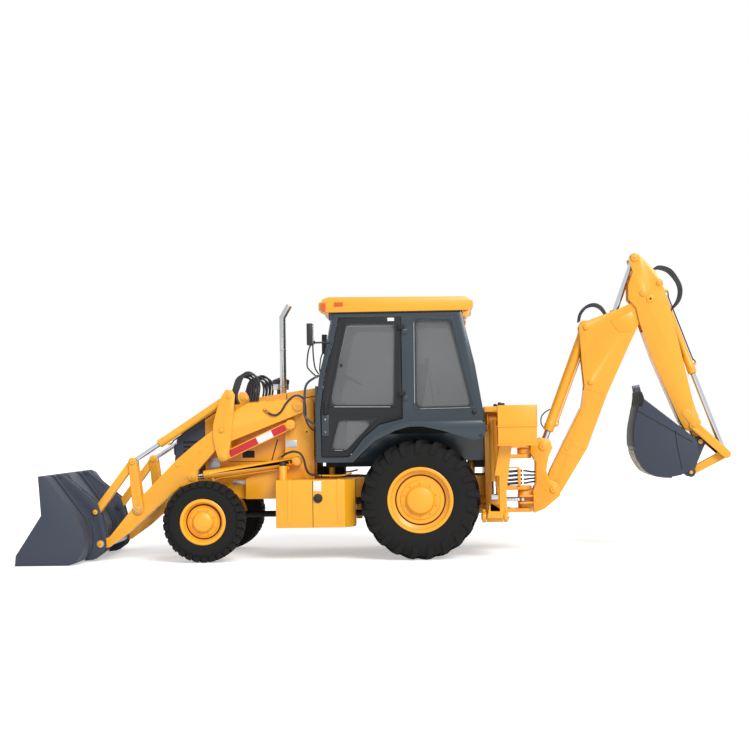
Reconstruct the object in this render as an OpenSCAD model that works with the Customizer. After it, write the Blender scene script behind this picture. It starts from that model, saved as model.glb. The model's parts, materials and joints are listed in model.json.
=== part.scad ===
// Backhoe loader: front is -X, left side is -Y, up is +Z, millimetres

/* [Wheels] */
// Front axle centre line along X
front_axle_x = -1900; // [-2000:5:-1800]
// Rear axle centre line along X
rear_axle_x = 419; // [350:1:500]
// Front tyre outer radius, over the tread
front_tyre_r = 436; // [400:1:460]
// Front tyre width
front_tyre_w = 330; // [280:5:360]
// Rear tyre outer radius, over the lugs
rear_tyre_r = 638; // [600:1:660]
// Rear tyre width
rear_tyre_w = 480; // [420:5:520]
// Middle of a front wheel from the centre plane
front_wheel_y = 900; // [860:5:920]
// Middle of a rear wheel from the centre plane
rear_wheel_y = 830; // [800:5:860]
// Front rim seat radius
front_rim_r = 226; // [215:1:235]
// Rear rim seat radius
rear_rim_r = 330; // [310:1:340]
// Kingpin from the centre plane
kingpin_y = 690; // [670:5:700]

/* [Loader] */
// Middle plane of a loader arm
arm_y = 600; // [590:1:610]
// Loader arm width over its plates
arm_w = 100; // [90:1:104]
// Loader bucket width
bucket_w = 2300; // [2200:10:2400]
// Loader bucket sheet thickness
bucket_t = 16; // [10:1:25]
// Lift cylinder barrel radius
lift_barrel_r = 50; // [44:1:52]
// Lift cylinder rod radius
lift_rod_r = 28; // [24:1:32]
// Tilt cylinder barrel radius
tilt_barrel_r = 46; // [40:1:48]
// Loader pin radius
pin_r = 24; // [20:1:28]

/* [Cab] */
// Half width of the cab over its side frames
cab_half_w = 780; // [760:5:800]
// Side frame thickness
cab_t = 60; // [50:1:70]
// Underside of the roof
roof_z0 = 2662; // [2655:1:2680]
// Top of the roof
roof_z1 = 2830; // [2790:1:2850]
// Glass thickness
glass_t = 6; // [5:1:8]

/* [Attachment points] */
// Tow and tie-down bore radius
tie_r = 20; // [16:0.5:25]
// Beacon base bolt circle
beacon_pcd = 130; // [120:1:140]
// Beacon base bolt hole radius
beacon_hole_r = 4.5; // [4:0.1:6]

/* [Backhoe] */
// Swing pivot along X
swing_x = 1560; // [1540:5:1580]
// Boom width over its plates
boom_w = 200; // [190:1:210]
// Boom plate thickness
boom_t = 16; // [12:1:20]
// Dipper plate thickness
dipper_t = 16; // [12:1:20]
// Dig bucket width over its side plates
dig_bucket_w = 600; // [560:10:640]
// Boom cylinder barrel radius
boom_barrel_r = 60; // [55:1:64]
// Dig cylinder barrel radius
dig_barrel_r = 50; // [44:1:54]
// Stabiliser hinge from the centre plane
stab_y = 850; // [840:5:870]

/* [Hidden] */
$fn = 48;
place_x = 20;
run_gap = 0.3;
side_gap = 6;
// Loader pins in the side plane, x then z
arm_pin = [-905, 1665];
level_pin = [-988, 1457];
lift_base_pin = [-924, 1061];
lift_rod_pin = [-2075, 905];
knee_pin = [-1744, 1408];
knee_top = [-1656, 1777];
knee_low = [-1735, 1115];
lever_pin = [-2667, 564];
lever_top = [-2725, 1081];
link_pin = [-3135, 538];
bucket_pin = [-3083, 191];
// Backhoe pins in the side plane, x then z
boom_foot = [1889, 690];
boom_ram_foot = [1785, 1174];
boom_ram_top = [2290, 2496];
dipper_pin = [2929, 2865];
dipper_top = [2846, 3265];
dipper_ram_base = [2330, 1880];
dig_ram_base = [3107, 2975];
lever2_pin = [3458, 1380];
lever2_end = [3809, 1058];
link2_end = [3420, 858];
dig_pin = [3532, 1198];

front_axle_z = front_tyre_r;
rear_axle_z = rear_tyre_r;
arm_in = arm_y - arm_w / 2;
arm_out = arm_y + arm_w / 2;
boom_out = boom_w / 2;
boom_in = boom_out - boom_t;
dipper_in = boom_out + 8;
dipper_out = dipper_in + dipper_t;

yellow = "#FFBE3C";
navy = "#42485A";
black = "#1C1C1E";
silver = "#C8CCD0";
glass_c = "#9AA0A8";

// Move from axle-based sizes to the middle of the machine's length
module place() {
  translate([place_x, 0, 0]) children();
}

// Draw a shape and its mirror image on the other side
module both() {
  children();
  mirror([0, 1, 0]) children();
}

// Plate cut from a side view outline, from y to y + t
module plate(y, t) {
  translate([0, y + t, 0]) rotate([90, 0, 0]) linear_extrude(t) children();
}

// Box section from y0 to y1: first child is the outline, second the hollow inside
module boxed(y0, y1, t) {
  difference() {
    plate(y0, y1 - y0) children(0);
    plate(y0 + t, y1 - y0 - 2 * t) children(1);
  }
}

// Round bar across the machine at a point of the side view
module ybar(p, r, y0, y1) {
  translate([p[0], y0, p[1]]) rotate([-90, 0, 0]) cylinder(h = y1 - y0, r = r);
}

// Frame whose X runs from p to q in the side view
module aim(p, q, y) {
  translate([p[0], y, p[1]]) rotate([0, -atan2(q[1] - p[1], q[0] - p[0]), 0]) children();
}

// Bar of height h from p to q, between y0 and y1
module bar(p, q, h, y0, y1) {
  aim(p, q, y0) translate([0, 0, -h / 2]) cube([norm(q - p), y1 - y0, h]);
}

// Round bar along the aimed X, from a to b
module xbar(a, b, r) {
  translate([a, 0, 0]) rotate([0, 90, 0]) cylinder(h = b - a, r = r);
}

// Cylinder barrel: base eye at p, open gland len along towards q
module barrel(p, q, y, r, rod_r, len, eye_r, eye_w, hole) {
  aim(p, q, y) difference() {
    union() {
      rotate([90, 0, 0]) cylinder(h = eye_w, r = eye_r, center = true);
      xbar(eye_r * 0.5, len, r - 3);
      xbar(len - 70, len, r);
    }
    rotate([90, 0, 0]) cylinder(h = eye_w + 2, r = hole + run_gap, center = true);
    xbar(eye_r + 10, len + 1, rod_r + run_gap);
  }
}

// Cylinder rod on the same line: starts at a, eye at q
module rod(p, q, y, rod_r, a, eye_r, eye_w, hole) {
  l = norm(q - p);
  aim(p, q, y) difference() {
    union() {
      translate([l, 0, 0]) rotate([90, 0, 0]) cylinder(h = eye_w, r = eye_r, center = true);
      xbar(a, l - eye_r * 0.8, rod_r);
    }
    translate([l, 0, 0]) rotate([90, 0, 0]) cylinder(h = eye_w + 2, r = hole, center = true);
  }
}

// Strap outline in the side view, round at both ends
module strap(p, q, r1, r2) {
  a = atan2(q[1] - p[1], q[0] - p[0]) + 90;
  translate(p) circle(r1);
  translate(q) circle(r2);
  polygon([p + r1 * [cos(a), sin(a)], q + r2 * [cos(a), sin(a)],
    q - r2 * [cos(a), sin(a)], p - r1 * [cos(a), sin(a)]]);
}

tower_y0 = 440;
tower_y1 = 540;
arm_pin_r = 36;
rail_y0 = 355;
rail_y1 = 425;
rail_z0 = 650;
rail_z1 = 870;
rail_front_x = -2230;
rail_rear_x = 1120;
tow_pin = [-2277, 695];
axle_tube_r = 80;
gearbox_y = 230;
module chassis() color(yellow) place() {
  both() {
    difference() {
      translate([rail_front_x, rail_y0, rail_z0])
        cube([rail_rear_x - rail_front_x, rail_y1 - rail_y0, rail_z1 - rail_z0]);
      translate([rear_axle_x - 120, rail_y0 - 1, rail_z0 - 1])
        cube([240, 100, rear_axle_z + axle_tube_r - rail_z0 + 1]);
    }
    plate(tower_y0, tower_y1 - tower_y0) polygon([[-1500, rail_z0], [-740, rail_z0],
      [-740, 1700], [-800, 1745], [-960, 1745], [-1060, 1520], [-1060, 1120],
      [-1500, 870]]);
    translate([-1500, rail_y1 - 1, rail_z0]) cube([760, tower_y0 - rail_y1 + 2, 20]);
    translate([-1060, rail_y1 - 1, rail_z1 - 20]) cube([320, tower_y0 - rail_y1 + 2, 20]);
    ybar(arm_pin, arm_pin_r, tower_y1 - 10, arm_out + 4);
    ybar(arm_pin, 58, arm_out + 4, arm_out + 16);
    ybar(level_pin, arm_pin_r - 6, tower_y1 - 10, arm_out + 4);
    ybar(level_pin, 52, arm_out + 4, arm_out + 14);
    ybar(lift_base_pin, arm_pin_r - 6, tower_y1 - 10, arm_out + 4);
    ybar(lift_base_pin, 46, arm_out + 4, arm_out + 14);
  }
  for (x = [-2200, -1330, 680])
    translate([x, -rail_y0 - 1, rail_z0 + 30]) cube([80, 2 * rail_y0 + 2, 120]);
  both() translate([-800, gearbox_y, 700]) cube([120, rail_y0 - gearbox_y + 1, 80]);
  both() for (x = [-560, 980])
    translate([x, rail_y0 + 35, rail_z1 - 1]) cylinder(h = cab_floor_z - rail_z1 + 1, r = 34);
  // Tow plates at the front ends of the rails
  both() difference() {
    plate(rail_y0 + 20, 30) polygon([[rail_front_x + 1, rail_z0], [rail_front_x - 90, rail_z0],
      [rail_front_x - 90, rail_z0 + 90], [rail_front_x + 1, rail_z0 + 90]]);
    ybar(tow_pin, tie_r, rail_y0, rail_y1);
  }
  // Front axle mount
  translate([front_axle_x - 90, -rail_y0 - 1, rail_z0]) cube([180, 2 * rail_y0 + 2, 60]);
}

module driveline() color(black) place() {
  // Front axle beam with forks for the knuckles
  translate([front_axle_x - 60, -kingpin_y + 75, front_axle_z - 80])
    cube([120, 2 * kingpin_y - 150, 160]);
  translate([front_axle_x - 80, -120, front_axle_z - 110]) cube([160, 240, rail_z0 - front_axle_z + 110]);
  both() {
    for (z = [front_axle_z - 100, front_axle_z + 70]) {
      translate([front_axle_x - 50, kingpin_y - 110, z]) cube([100, 110, 30]);
      translate([front_axle_x, kingpin_y, z]) cylinder(h = 30, r = 50);
    }
    translate([front_axle_x, kingpin_y, front_axle_z - 100]) cylinder(h = 200, r = 22);
    // Rear axle tubes and hub ends
    ybar([rear_axle_x, rear_axle_z], axle_tube_r, 0, rear_wheel_y - 160);
    ybar([rear_axle_x, rear_axle_z], 60, rear_wheel_y - 161, rear_wheel_y + 60);
  }
  translate([rear_axle_x - 170, -200, rear_axle_z - 200]) cube([340, 400, 420]);
  // Drive shaft, gearbox and engine
  translate([front_axle_x, 0, front_axle_z + 20]) rotate([0, 90, 0])
    cylinder(h = rear_axle_x - front_axle_x - 100, r = 35);
  translate([-1000, -gearbox_y, 420]) cube([560, 2 * gearbox_y, 560]);
  translate([-1940, -260, rail_z0 + 150]) cube([950, 520, 640]);
  translate([-440, -150, 560]) cube([700, 300, 200]);
}

hood_y = 425;
hood_t = 12;
hood_top = [[-1960, 1560], [-1737, 1690], [-1500, 1745], [-720, 1860]];
module hood() color(yellow) place() difference() {
  plate(-hood_y, 2 * hood_y) polygon(concat([[-720, rail_z1], [-1960, rail_z1]], hood_top));
  plate(-hood_y + hood_t, 2 * (hood_y - hood_t)) polygon([[-700, rail_z1 - 10], [-1980, rail_z1 - 10],
    [-1980, 1535], [-1737, 1676], [-1500, 1732], [-700, 1850]]);
  translate([-1137, 100, 1700]) cylinder(h = 300, r = 36 + run_gap);
  translate([-1180, 240, 1700]) cylinder(h = 300, r = 40 + run_gap);
}

module grille() color(navy) place() difference() {
  plate(-hood_y, 2 * hood_y) polygon([[-1960, rail_z1], [-2290, rail_z1], [-2300, 1090],
    [-2270, 1330], [-2150, 1440], [-1960, 1560]]);
  plate(-hood_y + hood_t, 2 * (hood_y - hood_t)) polygon([[-1950, rail_z1 - 10], [-2270, rail_z1 - 10],
    [-2280, 1090], [-2252, 1322], [-2142, 1426], [-1950, 1546]]);
}

// Cab outline points in the side view, x then z
cab_floor_z = 1041;
cab_side = [[-690, 1041], [-704, 1612], [-656, 1989], [-483, 2662], [887, 2662], [1027, 2068],
  [1114, 1540], [1114, 1470], [262, 1470], [-50, 1340], [-313, 1041]];
door_hole = [[-645, 1096], [-650, 1600], [-604, 1970], [-440, 2610], [240, 2610], [240, 1504],
  [-17, 1440], [-184, 1301], [-330, 1114], [-360, 1096]];
door_line = [[-639, 1102], [-644, 1600], [-598, 1969], [-435, 2604], [234, 2604], [234, 1510],
  [-20, 1446], [-189, 1306], [-334, 1121], [-362, 1102]];
door_window = [[-551, 1647], [-520, 1850], [-364, 2556], [186, 2545], [160, 1636]];
door_low_window = [[-547, 1179], [-456, 1511], [-42, 1504], [-366, 1165]];
rear_window = [[375, 1611], [381, 2595], [789, 2577], [1019, 1616]];
module cab_frame() color(navy) place() {
  both() {
    plate(cab_half_w - cab_t, cab_t) difference() {
      polygon(cab_side);
      polygon(door_hole);
      polygon(rear_window);
    }
    // Hinge pins for the door
    for (z = hinge_z) {
      translate([hinge_x, -hinge_y, z]) cylinder(h = 92, r = 6);
      translate([hinge_x, -hinge_y, z]) cylinder(h = 48, r = 10);
      translate([hinge_x, -cab_half_w - 20, z]) cube([40, 26, 48]);
    }
    // Fender over the rear wheel
    difference() {
      plate(540, 530) polygon([[-310, 1045], [-290, 1070], [-50, 1340], [262, 1470], [1080, 1470],
        [1117, 1440], [1117, 1335], [1095, 1285], [1000, 1262], [665, 1370], [455, 1417],
        [310, 1417], [150, 1372], [-57, 1270], [-290, 1050]]);
      plate(560, 480) polygon([[-290, 1000], [-262, 1068], [-36, 1320], [268, 1450], [1060, 1450],
        [1096, 1430], [1096, 1000]]);
    }
  }
  // Floor, walls and cross bars
  translate([-690, -cab_half_w + 20, cab_floor_z]) cube([400, 2 * cab_half_w - 40, 30]);
  translate([-300, -560, cab_floor_z]) cube([1414, 1120, 30]);
  both() translate([-290, 540, cab_floor_z]) cube([1404, 20, 300]);
  translate([-704, -cab_half_w + 20, cab_floor_z]) cube([20, 2 * cab_half_w - 40, 830]);
  translate([-545, -cab_half_w + 20, roof_z0 - 80]) cube([60, 2 * cab_half_w - 40, 79]);
  translate([1085, -560, cab_floor_z]) cube([30, 1120, 460]);
  translate([1060, -cab_half_w + 20, 1480]) cube([54, 2 * cab_half_w - 40, 80]);
  translate([860, -cab_half_w + 20, roof_z0 - 60]) cube([40, 2 * cab_half_w - 40, 59]);
}

beacon_at = [600, 560];
module cab_roof() color(yellow) place() difference() {
  union() {
    plate(-800, 1600) polygon([[-621, 2662], [-615, 2804], [-538, roof_z1], [940, roof_z1 - 20],
      [980, 2780], [996, 2705], [968, roof_z0], [-500, roof_z0]]);
    translate([beacon_at[0], beacon_at[1], roof_z1 - 60]) cylinder(h = 60, r = 82);
  }
  translate([beacon_at[0], beacon_at[1], roof_z1 - 40])
    for (a = [0, 120, 240]) rotate(a) translate([beacon_pcd / 2, 0, 0]) cylinder(h = 50, r = beacon_hole_r);
}

module cab_glass() color(glass_c) place() {
  both() plate(cab_half_w - 40, glass_t) polygon([[375, 1611], [381, 2595], [789, 2577], [1019, 1616]]);
  // Windscreen and rear window
  bar([-655, 1880], [-528, roof_z0 - 86], glass_t, cab_t - cab_half_w, cab_half_w - cab_t);
  bar([1070, 1562], [892, roof_z0 - 62], glass_t, cab_t - cab_half_w, cab_half_w - cab_t);
}

module side_tanks() color(yellow) place() both() {
  difference() {
    translate([0, 0, 354]) linear_extrude(510) polygon([[-1170, 560], [-1126, 950], [-390, 950],
      [-285, 800], [-285, 560]]);
    translate([0, 0, 374]) linear_extrude(470) polygon([[-1145, 580], [-1105, 930], [-400, 930],
      [-305, 790], [-305, 580]]);
  }
  translate([-1080, tower_y1, 700]) cube([60, 561 - tower_y1, 100]);
  translate([-500, rail_y1, 700]) cube([60, 561 - rail_y1, 100]);
  translate([-1070, 700, 863]) cylinder(h = 150, r = 45);
}

module exhaust() color(silver) place() {
  difference() {
    union() {
      translate([-1137, 100, 1800]) cylinder(h = 880, r = 36);
      translate([-1137, 100, 2680]) sphere(r = 36);
      translate([-1137, 100, 2680]) rotate([0, 30, 0]) cylinder(h = 160, r = 36);
    }
    translate([-1137, 100, 2680]) rotate([0, 30, 0]) translate([0, 0, 20]) cylinder(h = 160, r = 30);
  }
  translate([-1180, 240, 1760]) cylinder(h = 100, r = 40);
  translate([-1180, 240, 1859]) cylinder(h = 110, r = 95);
}

module operator_station() color(black) place() {
  translate([-100, -240, cab_floor_z + 30]) cube([440, 480, 430]);
  translate([-140, -260, 1500]) cube([520, 520, 120]);
  translate([330, -250, 1600]) rotate([0, 10, 0]) cube([110, 500, 640]);
  translate([-600, -120, cab_floor_z + 30]) cube([180, 240, 640]);
  translate([-430, 0, 1730]) rotate([0, -40, 0]) cylinder(h = 30, r = 190);
  translate([-520, 0, 1600]) rotate([0, 50, 0]) translate([0, 0, 0]) cylinder(h = 130, r = 25);
}

module cab_trim() color(black) place() both() {
  translate([-757, 930, 2300]) cube([60, 180, 230]);
  translate([-740, cab_half_w, 2330]) cube([20, 160, 20]);
  translate([-740, cab_half_w, 2330]) cube([210, 16, 20]);
}

// Swing pivot levels and swing cylinder line
swing_low_z0 = 440;
swing_low_z1 = 690;
swing_up_z0 = 1040;
swing_up_z1 = 1160;
lug_t = 45;
lug_r = 96;
swing_pin_r = 35;
swing_ram_z = 585;
swing_base = [820, 170];
swing_ear = [1540, 130];
tie_x = 1235;
tie_y = 460;
module rear_frame() color(yellow) place() {
  both() {
    translate([1120, 330, 440]) cube([230, 50, 1180]);
    translate([1120, 540, 440]) cube([230, 50, 1180]);
    translate([1120, 330, 1560]) cube([230, 430, 60]);
    difference() {
      translate([1120, 330, 480]) cube([230, 400, 80]);
      translate([tie_x, tie_y, 470]) cylinder(h = 100, r = tie_r);
    }
    // Stabiliser hinge brackets
    for (x = [1075, 1305]) {
      translate([x, 589, 400]) cube([40, stab_y - 589, 120]);
      translate([x, stab_y, 440]) rotate([0, 90, 0]) cylinder(h = 40, r = 60);
    }
    translate([1075, stab_y, 440]) rotate([0, 90, 0]) cylinder(h = 270, r = 25);
    // Stabiliser cylinder pin
    translate([1148, stab_ram_top[0], stab_ram_top[1]]) rotate([0, 90, 0]) cylinder(h = 124, r = 22);
    for (x = [1148, 1256]) difference() {
      translate([x, 589, stab_ram_top[1] - 60]) cube([16, 105, 120]);
      translate([x - 1, stab_ram_top[0], stab_ram_top[1]]) rotate([0, 90, 0]) cylinder(h = 18, r = 10);
    }
  }
  difference() {
    translate([1120, -590, 440]) cube([28, 1180, 1060]);
    both() translate([1110, 90, 525]) cube([80, 130, 120]);
  }
  // Swing pivot forks
  for (z = [swing_low_z0, swing_low_z1, swing_up_z0, swing_up_z1]) {
    translate([0, 0, z]) linear_extrude(lug_t) {
      polygon([[1147, -180], [1330, -180], [1430, -lug_r], [swing_x, -lug_r], [swing_x, lug_r],
        [1430, lug_r], [1330, 180], [1147, 180]]);
      translate([swing_x, 0]) circle(lug_r);
    }
  }
  translate([swing_x, 0, swing_low_z0]) cylinder(h = swing_low_z1 - swing_low_z0 + lug_t, r = swing_pin_r);
  translate([swing_x, 0, swing_up_z0]) cylinder(h = swing_up_z1 - swing_up_z0 + lug_t, r = swing_pin_r);
  // Swing cylinder base pins
  both() {
    for (z = [swing_ram_z - 60, swing_ram_z + 40])
      translate([swing_base[0] - 50, swing_base[1] - 50, z]) cube([351, 100, 20]);
    translate([swing_base[0], swing_base[1], swing_ram_z - 60]) cylinder(h = 120, r = 18);
  }
}

// Door hinge line
hinge_x = 262;
hinge_y = cab_half_w + 16;
hinge_z = [1700, 2420];
module door() {
  difference() {
    plate(-cab_half_w + 5, 40) difference() {
      polygon(door_line);
      polygon(door_window);
      polygon(door_low_window);
    }
  }
  for (z = hinge_z) {
    difference() {
      union() {
        translate([205, -cab_half_w - 24, z + 50]) cube([30, 30, 45]);
        translate([230, -cab_half_w - 24, z + 50]) cube([hinge_x - 230, 12, 45]);
        translate([hinge_x, -hinge_y, z + 50]) cylinder(h = 45, r = 10);
      }
      translate([hinge_x, -hinge_y, z + 49]) cylinder(h = 47, r = 6 + run_gap);
    }
  }
  translate([-600, -cab_half_w - 30, 1560]) cube([25, 36, 140]);
}

module door_left() color(navy) place() door();
module door_right() color(navy) place() mirror([0, 1, 0]) door();

module door_glass() {
  plate(-cab_half_w + 22, glass_t) {
    polygon(door_window);
    polygon(door_low_window);
  }
}

module door_glass_left() color(glass_c) place() door_glass();
module door_glass_right() color(glass_c) place() mirror([0, 1, 0]) door_glass();

// Knuckle of the left front wheel
spindle_r = 50;
module knuckle() {
  difference() {
    union() {
      translate([front_axle_x, -kingpin_y, front_axle_z - 64]) cylinder(h = 128, r = 46);
      ybar([front_axle_x, front_axle_z], spindle_r, -front_wheel_y - 55, -kingpin_y);
    }
    translate([front_axle_x, -kingpin_y, front_axle_z - 70]) cylinder(h = 140, r = 22 + run_gap);
  }
}

module knuckle_left() color(yellow) place() knuckle();
module knuckle_right() color(yellow) place() mirror([0, 1, 0]) knuckle();

// Turn a profile of radius and outward offset about the left wheel axis
module wheel_turn(x, y, z) {
  translate([x, -y, z]) rotate([90, 0, 0]) rotate_extrude($fn = 96) children();
}

module tyre(r, w, seat) {
  h = w / 2;
  bead = h - 37;
  polygon([[seat + run_gap, -bead], [seat + 26, -bead], [seat + 30, -h + 18],
    [seat + 0.35 * (r - seat), -h], [seat + 0.62 * (r - seat), -h], [r - 34, -h + 16],
    [r - 8, -h + 46], [r, -h + 90], [r, h - 90], [r - 8, h - 46], [r - 34, h - 16],
    [seat + 0.62 * (r - seat), h], [seat + 0.35 * (r - seat), h], [seat + 30, h - 18],
    [seat + 26, bead], [seat + run_gap, bead]]);
}

module rim(seat, half, hub_r, cap_r, dish) {
  polygon([[seat - 14, -half - 10], [seat + 20, -half - 10], [seat + 20, -half - 0.4],
    [seat, -half - 0.4], [seat, half + 0.4], [seat + 20, half + 0.4], [seat + 20, half + 10],
    [seat - 14, half + 10], [seat - 14, dish + 20], [cap_r + 10, dish + 20], [cap_r, dish + 60],
    [cap_r - 8, dish + 68], [0, dish + 68], [0, 60], [hub_r + run_gap, 60],
    [hub_r + run_gap, -60], [cap_r, -60], [cap_r, dish], [seat - 14, dish]]);
}

front_half = front_tyre_w / 2 - 37;
rear_half = rear_tyre_w / 2 - 37;
hub_r = 60;
module front_tyre_left() color(black) place() wheel_turn(front_axle_x, front_wheel_y, front_axle_z)
  tyre(front_tyre_r, front_tyre_w, front_rim_r);
module front_tyre_right() color(black) place() mirror([0, 1, 0])
  wheel_turn(front_axle_x, front_wheel_y, front_axle_z) tyre(front_tyre_r, front_tyre_w, front_rim_r);
module front_rim_left() color(yellow) place() wheel_turn(front_axle_x, front_wheel_y, front_axle_z)
  rim(front_rim_r, front_half, spindle_r, 108, 30);
module front_rim_right() color(yellow) place() mirror([0, 1, 0])
  wheel_turn(front_axle_x, front_wheel_y, front_axle_z) rim(front_rim_r, front_half, spindle_r, 108, 30);
module rear_tyre_left() color(black) place() wheel_turn(rear_axle_x, rear_wheel_y, rear_axle_z)
  tyre(rear_tyre_r, rear_tyre_w, rear_rim_r);
module rear_tyre_right() color(black) place() mirror([0, 1, 0])
  wheel_turn(rear_axle_x, rear_wheel_y, rear_axle_z) tyre(rear_tyre_r, rear_tyre_w, rear_rim_r);
module rear_rim_left() color(yellow) place() wheel_turn(rear_axle_x, rear_wheel_y, rear_axle_z)
  rim(rear_rim_r, rear_half, hub_r, 143, 20);
module rear_rim_right() color(yellow) place() mirror([0, 1, 0])
  wheel_turn(rear_axle_x, rear_wheel_y, rear_axle_z) rim(rear_rim_r, rear_half, hub_r, 143, 20);

arm_line = [[-3000, 250], [-2614, 717], [-2245, 1093], [-2041, 1262], [-1800, 1440],
  [-1560, 1640], [-1450, 1700], [-940, 1738], [-850, 1690], [-851, 1590], [-1640, 1289],
  [-1819, 1183], [-2009, 975], [-2009, 850], [-2202, 802], [-2294, 730], [-2766, 312],
  [-2996, 151], [-3060, 150]];
// Hollow of the arm, open below for the lift rod
arm_hollow = [[-2960, 196], [-2776, 325], [-2304, 742], [-2240, 793], [-2215, 740], [-1980, 810],
  [-1900, 985], [-1950, 1063], [-1829, 1196], [-1647, 1303], [-867, 1601], [-866, 1680],
  [-943, 1722], [-1445, 1684], [-1551, 1627], [-1790, 1427], [-2031, 1249], [-2234, 1081],
  [-2602, 706], [-2960, 273]];
tip_r = 50;
boss_r = 58;
arm_t = 16;
module arm_outline() {
  polygon(arm_line);
  translate(bucket_pin) circle(tip_r);
  polygon([[-3110, 232], [-3080, 142], [-2990, 152], [-2995, 258]]);
  translate(arm_pin) circle(70);
}

module loader_arm() color(yellow) place() {
  both() difference() {
    union() {
      boxed(arm_in, arm_out, arm_t) {
        arm_outline();
        polygon(arm_hollow);
      }
      ybar(arm_pin, 62, arm_in + 1, arm_out - 1);
      ybar(lever_pin, boss_r, arm_in + 1, arm_out - 1);
      ybar(knee_pin, pin_r + 6, arm_in - 34, arm_out + 34);
      ybar(lift_rod_pin, 46, arm_out - 1, arm_out + 12);
      ybar(lift_rod_pin, 46, arm_in - 12, arm_in + 1);
    }
    ybar(arm_pin, arm_pin_r + run_gap, arm_in - 1, arm_out + 1);
    ybar(lever_pin, 30 + run_gap, arm_in - 1, arm_out + 1);
    ybar(bucket_pin, 30 + run_gap, arm_in - 1, arm_out + 1);
  }
  ybar([-2440, 760], 62, -arm_in - 1, arm_in + 1);
}

module lift_barrels() color(yellow) place() both()
  barrel(lift_base_pin, lift_rod_pin, arm_y, lift_barrel_r, lift_rod_r, 1035, 55, 94, 30);
module lift_rods() color(silver) place() both()
  rod(lift_base_pin, lift_rod_pin, arm_y, lift_rod_r, 80, 48, 60, 24);

module levelling_rods() color(yellow) place() both() {
  difference() {
    union() {
      ybar(level_pin, 56, arm_in + 3, arm_out - 3);
      ybar(knee_low, 44, arm_in + 3, arm_out - 3);
      bar(level_pin, knee_low, 96, arm_y - 30, arm_y + 30);
    }
    ybar(level_pin, 30 + run_gap, arm_in, arm_out);
    ybar(knee_low, pin_r, arm_in, arm_out);
  }
}

knee_line = [[-1690, 1850], [-1760, 1740], [-1831, 1475], [-1838, 1350], [-1813, 1204],
  [-1775, 1090], [-1700, 1075], [-1665, 1106], [-1641, 1289], [-1587, 1790], [-1620, 1845]];
knee_t = 18;
knee_in = arm_in - 6 - knee_t;
knee_out = arm_out + 6;
module knee_plates() color(yellow) place() both() {
  difference() {
    for (y = [knee_in, knee_out])
      plate(y, knee_t) {
        polygon(knee_line);
        translate(knee_top) circle(60);
        translate(knee_low) circle(48);
      }
    ybar(knee_pin, pin_r + 6 + run_gap, knee_in - 1, knee_out + knee_t + 1);
  }
  ybar(knee_top, 28, knee_in - 8, knee_out + knee_t + 8);
  ybar(knee_low, 34, knee_out + knee_t - 1, knee_out + knee_t + 10);
  ybar(knee_low, 34, knee_in - 10, knee_in + 1);
}

module tilt_barrels() color(yellow) place() both()
  barrel(knee_top, lever_top, arm_y, tilt_barrel_r, 25, 930, 54, 94, 28);
module tilt_rods() color(silver) place() both() {
  rod(knee_top, lever_top, arm_y, 25, 470, 44, 56, 12);
  ybar(lever_top, pin_r, arm_y - 48, arm_y + 48);
}

lever_t = 18;
lever_in = arm_in - 6 - lever_t;
lever_out = arm_out + 6;
module levers() color(yellow) place() both() {
  difference() {
    for (y = [lever_in, lever_out])
      plate(y, lever_t) strap(lever_pin, lever_top, 58, 46);
    ybar(lever_pin, 30 + run_gap, lever_in - 1, lever_out + lever_t + 1);
  }
  ybar(lever_top, 34, lever_out + lever_t - 1, lever_out + lever_t + 10);
  ybar(lever_top, 34, lever_in - 10, lever_in + 1);
}

lever_shaft_r = 44;
bucket_shaft_r = 54;
module lever_pins() color(silver) place() both() {
  ybar(lever_pin, 30, lever_in - 6, lever_out + lever_t + 6);
  ybar(lever_pin, 40, lever_out + lever_t + 1, lever_out + lever_t + 10);
  ybar(lever_pin, 40, lever_in - 10, lever_in - 1);
  // Half of the shaft that ties both sides
  ybar(lever_pin, lever_shaft_r, -1, lever_in - 9);
}

link_t = 16;
module bucket_links() color(yellow) place() both() {
  difference() {
    for (y = [arm_y - 30 - link_t, arm_y + 30])
      plate(y, link_t) strap(lever_top, link_pin, 40, 40);
    ybar(lever_top, pin_r + run_gap, arm_in, arm_out);
  }
  ybar((lever_top + link_pin) / 2, 22, arm_y - 31, arm_y + 31);
}

bucket_outer = [[-3640, 950], [-3600, 955], [-3540, 925], [-3215, 490], [-3162, 370],
  [-3150, 230], [-3172, 130], [-3230, 50], [-3320, 0], [-3895, 0], [-3895, 6]];
bucket_inner = [[-3895, 6], [-3870, 24], [-3324, 20], [-3240, 64], [-3188, 138], [-3168, 232],
  [-3180, 364], [-3232, 484], [-3552, 905], [-3604, 932]];
bucket_side = [[-3640, 950], [-3600, 955], [-3540, 925], [-3215, 490], [-3162, 370],
  [-3150, 230], [-3172, 130], [-3230, 50], [-3320, 0], [-3895, 0], [-3884, 111], [-3610, 533]];
ear_line = [[-3560, 950], [-3500, 955], [-3115, 640], [-3070, 500], [-3026, 315], [-3020, 162],
  [-3060, 90], [-3160, 20], [-3260, 10], [-3190, 120], [-3165, 230], [-3176, 366], [-3228, 486]];
ear_t = 20;
module loader_bucket() color(navy) place() {
  plate(-bucket_w / 2, bucket_w) polygon(concat(bucket_outer, bucket_inner));
  both() {
    plate(bucket_w / 2 - bucket_t, bucket_t) polygon(bucket_side);
    difference() {
      for (y = [arm_in - 6 - ear_t, arm_out + 6])
        plate(y, ear_t) {
          polygon(ear_line);
          translate(link_pin) circle(52);
          translate(bucket_pin) circle(62);
        }
      ybar(bucket_pin, 30 + run_gap, arm_in - 40, arm_out + 40);
    }
    ybar(link_pin, 34, arm_out + 5 + ear_t, arm_out + 16 + ear_t);
    ybar(link_pin, 34, arm_in - 16 - ear_t, arm_in - 5 - ear_t);
  }
}

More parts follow.
